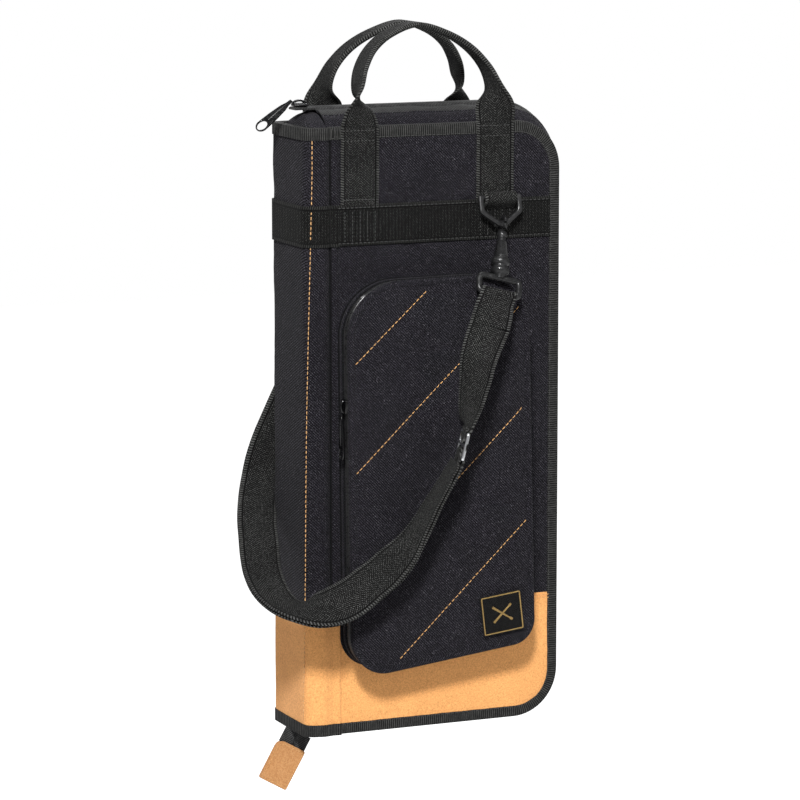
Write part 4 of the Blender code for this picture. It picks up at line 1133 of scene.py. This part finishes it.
# offset out of the outline, half depth, and the material of the strip that follows: 0 cloth,
# 1 near-black cloth as painted shade in the recesses, 2 zip tape
BASE_GUSSET = [(0, 0.0430, 0), (0.0020, 0.0433, 0), (0.0030, 0.0443, 0), (0.0020, 0.0454, 1),
               (-0.0004, 0.0462, 1), (0.0010, 0.0478, 0), (0.0018, 0.0505, 0),
               (0.0012, 0.0530, 1), (-0.0004, 0.0546, 1), (0, 0.0558, 2), (-0.0004, 0.0603, 2),
               (-0.0022, 0.0603, 0), (-0.0022, 0.0430, 0)]
FRONT_GUSSET = [(-0.0004, 0.0608, 2), (0, 0.0632, 1), (-0.0012, 0.0646, 1), (0.0012, 0.0663, 0),
                (0.0022, 0.0684, 0), (0.0014, 0.0705, 1), (-0.0012, 0.0720, 1),
                (0.0006, 0.0742, 0), (0.0028, 0.0751, 0), (0.0036, 0.0764, 0),
                (0.0028, 0.0778, 0), (0.0006, 0.0784, 0), (-0.0022, 0.0772, 0),
                (-0.0022, 0.0608, 0)]
HINGE_STRIP = [(0.0012, 0.0560), (0.0018, 0.0606), (0.0012, 0.0652), (0.0003, 0.0652),
               (0.0006, 0.0606), (0.0003, 0.0560)]


def pocket():
    """The pocket's two gusset halves, its zip, its quilted face and its hinge."""
    path = pocket_path()
    for part, profile, body, node in (("base", BASE_GUSSET, "front_cover", "pocket_gusset"),
                                      ("front", FRONT_GUSSET, "pocket_flap", "pocket_rim")):
        strip = rim(path, [(o, 0, d) for o, d, _ in profile], -1, closed=True,
                    kinds=[kind for _, _, kind in profile])
        piece(f"pocket_{part}_gusset", strip, [CANVAS_STRIP, SHADE_PAINTED_CLOTH, ZIP_TAPE], body,
              "canvas", node)
    hinged = [k for k, (_, out, _) in enumerate(path) if out.y < -0.97]
    zipped = path[hinged[-1] + 1:] + path[:hinged[0]]
    for depth, body in ((0.0594, "front_cover"), (0.0618, "pocket_flap")):
        line = [(p.x + out.x * 0.0001, -depth, p.y + out.y * 0.0001) for p, out, _ in zipped]
        piece(f"pocket_coil_{body}", Shape().sweep(tube_rings(line, 0.0011, 8, (0, 1, 0))), COIL,
              body, "zip")
    face = pad("pocket_face", POCKET_CORNERS, POCKET_RADII, (38, 76), -1, POCKET_BASE,
               POCKET_BACK, lambda p: min(off_line(p, line) for line in QUILTING) < 0.0022,
               0.0058, CANVAS, "pocket_flap", "canvas", "pocket_panel", quilted)
    rows = []
    for line in QUILTING:
        hits = [face.ray_cast(Vector((p.x, -0.2, p.y - GRIP)), Vector((0, 1, 0)))
                for p in catmull(line, 40)]
        rows.append(([(at.x, at.y - 0.0002, at.z + GRIP) for hit, at, _, _ in hits if hit],
                     (0, -1, 0), 0.0036, 0.0012, 0.00042))
    sewn("pocket_quilting", rows, TAN_THREAD, "pocket_flap", "canvas")
    rings = [[(p.x + out.x * o, -d, p.y + out.y * o) for o, d in HINGE_STRIP]
             for p, out, _ in (path[k] for k in hinged)]
    item = piece("pocket_hinge_cloth", Shape().sweep(rings), CANVAS_STRIP, None, "canvas")
    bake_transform(item)


def label_patch():
    """A woven label with a gold border and a plain motif of crossed sticks."""
    middle, wide, tall, lean = LABEL
    right, up = Vector((cos(lean), 0, sin(lean))), Vector((0, 0, 1))
    depth = 0.0806

    def layer(name, lift, loops, thick, bevel, material, *nodes):
        cutout(f"label_{name}", loops, thick, bevel, (middle.x, -depth - lift, middle.y), right,
               up, material, "pocket_flap", "label", *nodes)

    def frame_loop(inset, radius):
        return filleted(box(inset - wide, inset - tall, wide - inset, tall - inset), radius, 4)

    layer("ground", 0, [frame_loop(0, 0.0012)], 0.0016, 0.0005, BLACK_WEAVE, "pocket_label")
    layer("border", 0.0009, [frame_loop(0.0010, 0.001), frame_loop(0.0020, 0.0006)], 0.0006,
          0.0002, GOLD_WEAVE)
    half = [(-0.0120, -0.0011), (0.0085, -0.0007), (0.0100, -0.0013), (0.0122, -0.0010)]
    stick = half + [(x, -y) for x, y in reversed(half)]
    for k, way in enumerate((1, -1)):
        along = turned(radians(38) * way)
        loop = [(x * along.x - y * along.y, x * along.y + y * along.x) for x, y in stick]
        layer(f"stick_{k + 1}", 0.0010 + 0.0002 * k, [loop], 0.0005, 0.0002, GOLD_WEAVE)


# --- sliders and pulls ---
def slider(name, at, along, up, body):
    """A slider's plate, with its side lips and the crown that holds the pull."""
    side = along.cross(up)
    half = [(0.0065, 0.0062), (0.0010, 0.0062), (-0.0065, 0.0042)]
    outline = filleted([(x, -y) for x, y in reversed(half)] + half,
                       [0.0012, 0.003, 0.0022, 0.0022, 0.003, 0.0012], 4)
    cutout(f"{name}_plate", [outline], 0.0026, 0.0008, at + up * 0.0017, along, side, GLOSS, body,
           "gloss", name)
    arch = [(-0.0054, 0.0014), (-0.0056, 0.0033), (-0.0042, 0.0046), (-0.0012, 0.0053),
            (0.0018, 0.0053), (0.0042, 0.0044), (0.0054, 0.0030), (0.0054, 0.0014)]
    line = catmull([at + along * a + up * h for a, h in arch], 4)
    turns = [2 * pi * k / 14 for k in range(14)]
    rings = [[p + side * (0.0019 * cos(t)) + side.cross(on) * (0.0011 * sin(t)) for t in turns]
             for p, on in zip(line, stretched(line))]
    piece(f"{name}_crown", Shape().sweep(rings), GLOSS, body, "gloss")
    for part, way in (("left", 1), ("right", -1)):
        line = [at + along * a + side * (way * w) + up * 0.0012
                for a, w in ((-0.0058, 0.0040), (0.0008, 0.0060), (0.0060, 0.0060))]
        lip = Shape().sweep(tube_rings(catmull(line, 4), 0.0010, 8, up))
        piece(f"{name}_lip_{part}", lip, GLOSS, body, "gloss")


def pull(name, pivot, along, flat, body):
    """A moulded pull: an eye at the slider, a ribbed tab, and an open ring at its end."""
    length = 0.043
    tab = [(0, 0.0015), (0.005, 0.0018), (0.011, 0.0034), (0.022, 0.0046), (0.032, 0.0052)]
    ring = [(length - 0.0068 + 0.0068 * cos(t), 0.0054 * sin(t))
            for t in (radians(78 - 156 * k / 14) for k in range(15))]
    outline = tab + ring + [(x, -y) for x, y in reversed(tab)]
    hole = [(length - 0.0066 + 0.0053 * cos(t), 0.0039 * sin(t))
            for t in (2 * pi * k / 24 for k in range(24))]
    cutout(f"{name}_tab", [outline, hole], 0.0022, 0.0007, pivot, along, flat, GLOSS, body,
           "gloss", name)
    face = along.cross(flat)
    for part, way in (("outer", 1), ("inner", -1)):
        line = [pivot + along * a + face * (way * 0.0010) for a in (0.005, 0.010, 0.020, 0.029)]
        rib = Shape().sweep(tube_rings(line, [0.0004, 0.0009, 0.0011, 0.0005], 8, flat))
        piece(f"{name}_rib_{part}", rib, MATTE, body, "gloss")


def zips():
    """The two sliders with their pulls."""
    up, right = Vector((0, 0, 1)), Vector((1, 0, 0))
    slider("main_slider", Vector((-0.1180, 0, RIDGE + 0.0003)), right, up, "main_slider")
    tilt = radians(37)
    pull("main_pull", Vector((-0.1254, 0, RIDGE + 0.0058)),
         Vector((-cos(tilt), 0, -sin(tilt))), Vector((-0.44, 0.68, 0.59)), "main_pull")
    upper, lower = Vector(POCKET_CORNERS[0]), Vector(POCKET_CORNERS[3])
    rise = (upper - lower).normalized()
    along, out = Vector((rise.x, 0, rise.y)), Vector((-rise.y, 0, rise.x))
    start = lower + rise * 0.250
    place = Vector((start.x, -0.0606, start.y)) + out * 0.0003
    slider("pocket_slider", place, along, out, "pocket_slider")
    pull("pocket_pull", place - along * 0.0074 + out * 0.0050, -along, Vector((0, 1, 0)),
         "pocket_pull")


# --- handles ---
HANDLE_ROUTE = [
    # x from the handle's middle, half depth, height, direction across, width share
    (-0.0680, 0.0442, 0.5663, (1, 0, 0), 1.0),
    (-0.0682, 0.0438, 0.5790, (0.92, 0.38, 0), 0.9),
    (-0.0678, 0.0405, 0.5980, (0.15, 1, 0), 0.55),
    (-0.0622, 0.0330, 0.6170, (0, 1, 0), 0.25),
    (-0.0490, 0.0245, 0.6345, (0, 1, 0), 0),
    (-0.0280, 0.0170, 0.6480, (0, 1, 0), 0),
    (0, 0.0140, 0.6560, (0, 1, 0), 0),
]


def handle(label, side):
    """A webbing loop, folded narrow and thick at the grip."""
    middle, grip, grip_thick = sum(LEGS) / 2, 0.024, 0.0045
    half = [(x, side * depth, z, (across[0], -side * across[1], 0),
             grip + (WEB_WIDTH - grip) * share, grip_thick + (WEB_THICK - grip_thick) * share)
            for x, depth, z, across, share in HANDLE_ROUTE]
    route = [((middle + x, y, z), edge, w, t) for x, y, z, edge, w, t in half]
    route += [((middle - x, y, z), (-edge[0], edge[1], 0), w, t)
              for x, y, z, edge, w, t in reversed(half[:-1])]
    webbed(f"{label}_handle_webbing", route, 8, LEG_WEB, f"{label}_handle", "webbing",
           f"{label}_handle")


# --- strap fittings ---
RING_X = {"front": 0.0617, "rear": -0.0765}
DROPS = {"front": Vector((-0.28, -0.48, -0.83)).normalized(),
         "rear": Vector((-0.06, 0.03, -0.99)).normalized()}
RING_Z, RING_DEPTH, RING_TILT = 0.4965, 0.0499, radians(15.4)
EYE_DOWN = 0.0626


def hanging_frame(side, x, drop):
    """Points on a fitting that hangs from its ring: dx along the eye's bar, ahead out of the
    bag, and down the hook's axis."""
    lowest = Vector((x, side * (RING_DEPTH + 0.0262 * sin(RING_TILT)),
                     RING_Z - 0.0262 * cos(RING_TILT)))
    wide = (Vector((1, 0, 0)) - drop * drop.x).normalized()
    ahead = drop.cross(wide)
    if ahead.y * side < 0:
        ahead = -ahead
    return (lambda dx, forward, down: lowest + wide * dx + ahead * forward + drop * down,
            wide, ahead)


def turned_body(at, profile):
    """A body turned about the hook's axis, from (distance down, radius) pairs."""
    turns = [2 * pi * k / 20 for k in range(20)]
    return Shape().sweep([[at(r * cos(t), r * sin(t), down) for t in turns]
                          for down, r in profile])


RING_TAB = [(0.0446, -0.0085), (0.0450, -0.0030), (0.0462, 0.0016), (0.0482, 0.0040),
            (0.0506, 0.0043), (0.0530, 0.0030), (0.0542, 0.0004), (0.0536, -0.0028),
            (0.0510, -0.0058), (0.0474, -0.0086), (0.0450, -0.0110)]  # half depth, above the ring
HOOK_FOOT = [(0.0347, 0.0044), (0.0345, 0.0062), (0.0337, 0.0065)]  # distance down, radius
HOOK_NECK = [(0.0172, 0.0042), (0.0130, 0.0037), (0.0127, 0.0038), (0.0124, 0.0044),
             (0.0120, 0.0047), (0.0088, 0.0047), (0.0082, 0.0044), (0.0078, 0.0036),
             (0.0074, 0.0026)]
EYE_BARREL = [(0.0349, 0.0052), (0.0350, 0.0072), (0.0358, 0.0082), (0.0368, 0.0088),
              (0.0406, 0.0088), (0.0414, 0.0084), (0.0420, 0.0072), (0.0428, 0.0065),
              (0.0444, 0.0065), (0.0450, 0.0072), (0.0456, 0.0085), (0.0464, 0.0088),
              (0.0490, 0.0088), (0.0500, 0.0084), (0.0512, 0.0068), (0.0530, 0.0056),
              (0.0560, 0.0045)]


def fitting(label, side):
    """A ring in its webbing tab, the swivel hook in it and the eye for the strap."""
    x, ring_set = RING_X[label], f"{label}_ring_set"
    at, wide, ahead = hanging_frame(side, x, DROPS[label])
    webbed(f"{label}_ring_webbing",
           [((x, side * p.x, RING_Z + p.y), (1, 0, 0), 0.0325, 0.0015)
            for p in catmull([Vector(p) for p in RING_TAB], 3)], 1, LEG_WEB, f"{label}_cover",
           "webbing", f"{label}_ring_tab")
    loops = [filleted([(-half, high), (half, high), (half, low), (0, tip), (-half, low)],
                      [0.0030, 0.0030, 0.0034, 0.0080, 0.0034], 8)
             for half, high, low, tip in ((0.0218, -0.0025, 0.0142, 0.0302),
                                          (0.0170, 0.0022, 0.0120, 0.0250))]
    cutout(f"{label}_ring_bar", loops, 0.0040, 0.0014, (x, side * RING_DEPTH, RING_Z), (1, 0, 0),
           (0, side * sin(RING_TILT), -cos(RING_TILT)), MATTE, ring_set, "plastic",
           f"{label}_ring")
    ribs, foot, ribbed = 11, 0.0332, 0.0150
    grooves = [(foot - ribbed * k / (ribs * 4),
                0.0064 - 0.0019 * k / (ribs * 4) + 0.00030 * cos(pi * k / 2))
               for k in range(ribs * 4 + 1)]
    arc = [at(0, -0.0004, 0.0082), at(0, -0.0030, 0.0064), at(0, -0.0058, 0.0042)]
    arc += [at(0, -0.0073 * cos(pi * k / 16), 0.0002 - 0.0073 * sin(pi * k / 16))
            for k in range(17)]
    radii = [0.0036, 0.0027, 0.0022] + [0.0019] * 15 + [0.0018, 0.0016]
    hook = turned_body(at, HOOK_FOOT + grooves + HOOK_NECK)
    piece(f"{label}_hook_body", hook.sweep(tube_rings(arc, radii, 14, wide)), MATTE,
          f"{label}_hook", "plastic", f"{label}_hook")
    for part, line, radii, sides, nodes in (
            ("bar", [(0.0070, 0.0068), (0.0070, 0.0064), (0.0070, 0.0024), (0.0070, 0.0020)],
             [0.0012, 0.0019, 0.0019, 0.0012], 12, [f"{label}_hook_gate"]),
            ("thumb", [(0.0082, 0.0058), (0.0096, 0.0050), (0.0100, 0.0044)],
             [0.0014, 0.0015, 0.0008], 10, [])):
        bar = Shape().sweep(tube_rings([at(0, a, down) for a, down in line], radii, sides, wide))
        piece(f"{label}_gate_{part}", bar, MATTE, f"{label}_gate", "plastic", *nodes)
    corners = [at(dx, 0, down) for dx, down in box(-0.0195, EYE_DOWN - 0.0075, 0.0195,
                                                   EYE_DOWN + 0.0085)]
    loop = tube_rings(filleted(corners, 0.0045, 6), 0.0030, 14, ahead, True)
    piece(f"{label}_eye_body", turned_body(at, EYE_BARREL).sweep(loop, closed=True), MATTE,
          ring_set, "plastic", f"{label}_eye")
    strap_end(label, side, at, wide)


def strap_end(label, side, at, wide):
    """The strap's end, folded round the eye's lower bar and sewn to itself."""
    (low, edge), (beside, _), way = ((*FRONT_SINGLE[:2], 1) if label == "front"
                                     else (*LOWER_RUN[:-3:-1], -1))
    low, edge = Vector(low), Vector(edge).normalized() * way
    down, wrap = EYE_DOWN + 0.0085, 0.0038
    behind = (Vector(beside) - low).normalized().cross(edge).normalized()
    if behind.y * side > 0:
        behind = -behind

    def leaf(start, way, shares):
        return [(low.lerp(at(0, 0, down), share)
                 + behind * (way * (start + (wrap - start) * share)),
                 edge.lerp(wide, soft_step(share, 0, 0.8)), WEB_WIDTH - 0.004 * share, WEB_THICK)
                for share in shares]

    shares = (0, 0.35, 0.7)
    turn = [(at(0, -wrap * cos(pi * k / 6), down - wrap * sin(pi * k / 6)), wide, 0.0338,
             WEB_THICK) for k in range(7)]
    route = leaf(0.0019, 1, shares) + turn + leaf(0.0002, -1, shares[::-1])
    item = webbed(f"strap_end_{label}_fold", route, 3, STRAP_WEB, None, "webbing",
                  f"strap_end_{label}")
    low.lerp(at(0, 0, down), 0.8) + LOWERED
    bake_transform(item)


# --- adjuster ---
def adjuster():
    """A steel plate with two slots, turned as the strap lies in it."""
    upper, lower = Vector(FRONT_SINGLE[-1][0]), Vector(LOWER_RUN[0][0])
    wide, tall, bar = 0.0215, 0.0130, 0.0032
    loops = [filleted(box(-wide, -tall, wide, tall), 0.0028, 5)]
    loops += [filleted(box(-wide + bar * 0.8, low, wide - bar * 0.8, high), 0.0010, 5)
              for low, high in ((-tall + bar, -bar / 2), (bar / 2, tall - bar))]
    along = (upper - lower).normalized()
    across = Vector(ADJUSTER_ACROSS)
    across = (across - along * across.dot(along)).normalized()
    cutout("strap_adjuster_plate", loops, 0.0030, 0.0011, (upper + lower) / 2, across, along,
           STEEL, "strap_adjuster", "steel", "strap_adjuster")


# --- zip end ---
def zip_end():
    """The zip's tail below the spine and the suede cap sewn round it."""
    tilt = radians(30)
    along = Vector((-sin(tilt), 0, -cos(tilt)))
    across = Vector((cos(tilt), -0.1, -sin(tilt))).normalized()
    top, face = Vector((-0.1225, -0.004, -0.0035)), along.cross(across)
    webbed("zip_end_webbing", [(top + along * down, across, 0.0275, 0.0014)
                               for down in (0.0004, 0.005, 0.010, 0.0155)], 3, ZIP_TAPE,
           "zip_end", "zip", "zip_end_tape")
    coil = Shape()
    for way in (1, -1):
        for down in (0.0006 + 0.00115 * k for k in range(12)):
            line = [top + along * (down + 0.0008 * abs(a)) + across * (0.0022 * a)
                    + face * (0.0011 * (1 - 0.4 * a * a) * way) for a in (-1, -0.5, 0, 0.5, 1)]
            coil.sweep(tube_rings(line, 0.00042, 6, face))
    piece("zip_end_coil", coil, COIL, "zip_end", "zip")
    outline = filleted([(-0.0148, 0.0140), (0.0150, 0.0140), (0.0150, 0.0545),
                        (-0.0146, 0.0545)], [0.0080, 0.0025, 0.0020, 0.0020], 8)
    for k, off, grown, nodes in ((1, -0.0013, 1, ["zip_end_cap"]), (2, 0.0013, 0.98, [])):
        cutout(f"zip_end_suede_{k}", [[(p.x * grown, p.y) for p in outline]], 0.0024, 0.0008,
               top + face * off, across, along, CAP_SUEDE, "zip_end", "suede", *nodes)
    inset = filleted([(-0.0126, 0.0162), (0.0128, 0.0162), (0.0128, 0.0523),
                      (-0.0124, 0.0523)], [0.0070, 0.0015, 0.0015, 0.0015], 6)
    rows = [([top + across * p.x + along * p.y + face * (0.0027 * way)
              for p in [*inset, inset[0]]], face * way, 0.0024, 0.0010, 0.00032, 0.0004)
            for way in (1, -1)]
    sewn("zip_end_stitching", rows, TAN_THREAD, "zip_end", "suede")


adjuster()
for name, way in SIDES.items():
    cover(name, way)
    inside(name, way)
    handle(name, way)
    fitting(name, way)
spine()
folds()
pocket()
label_patch()
zips()
zip_end()

for name in ("front_board", "rear_board", "spine_board"):
    board = bpy.data.objects[name].data
    board.materials.clear()
    board.materials.append(FELT)
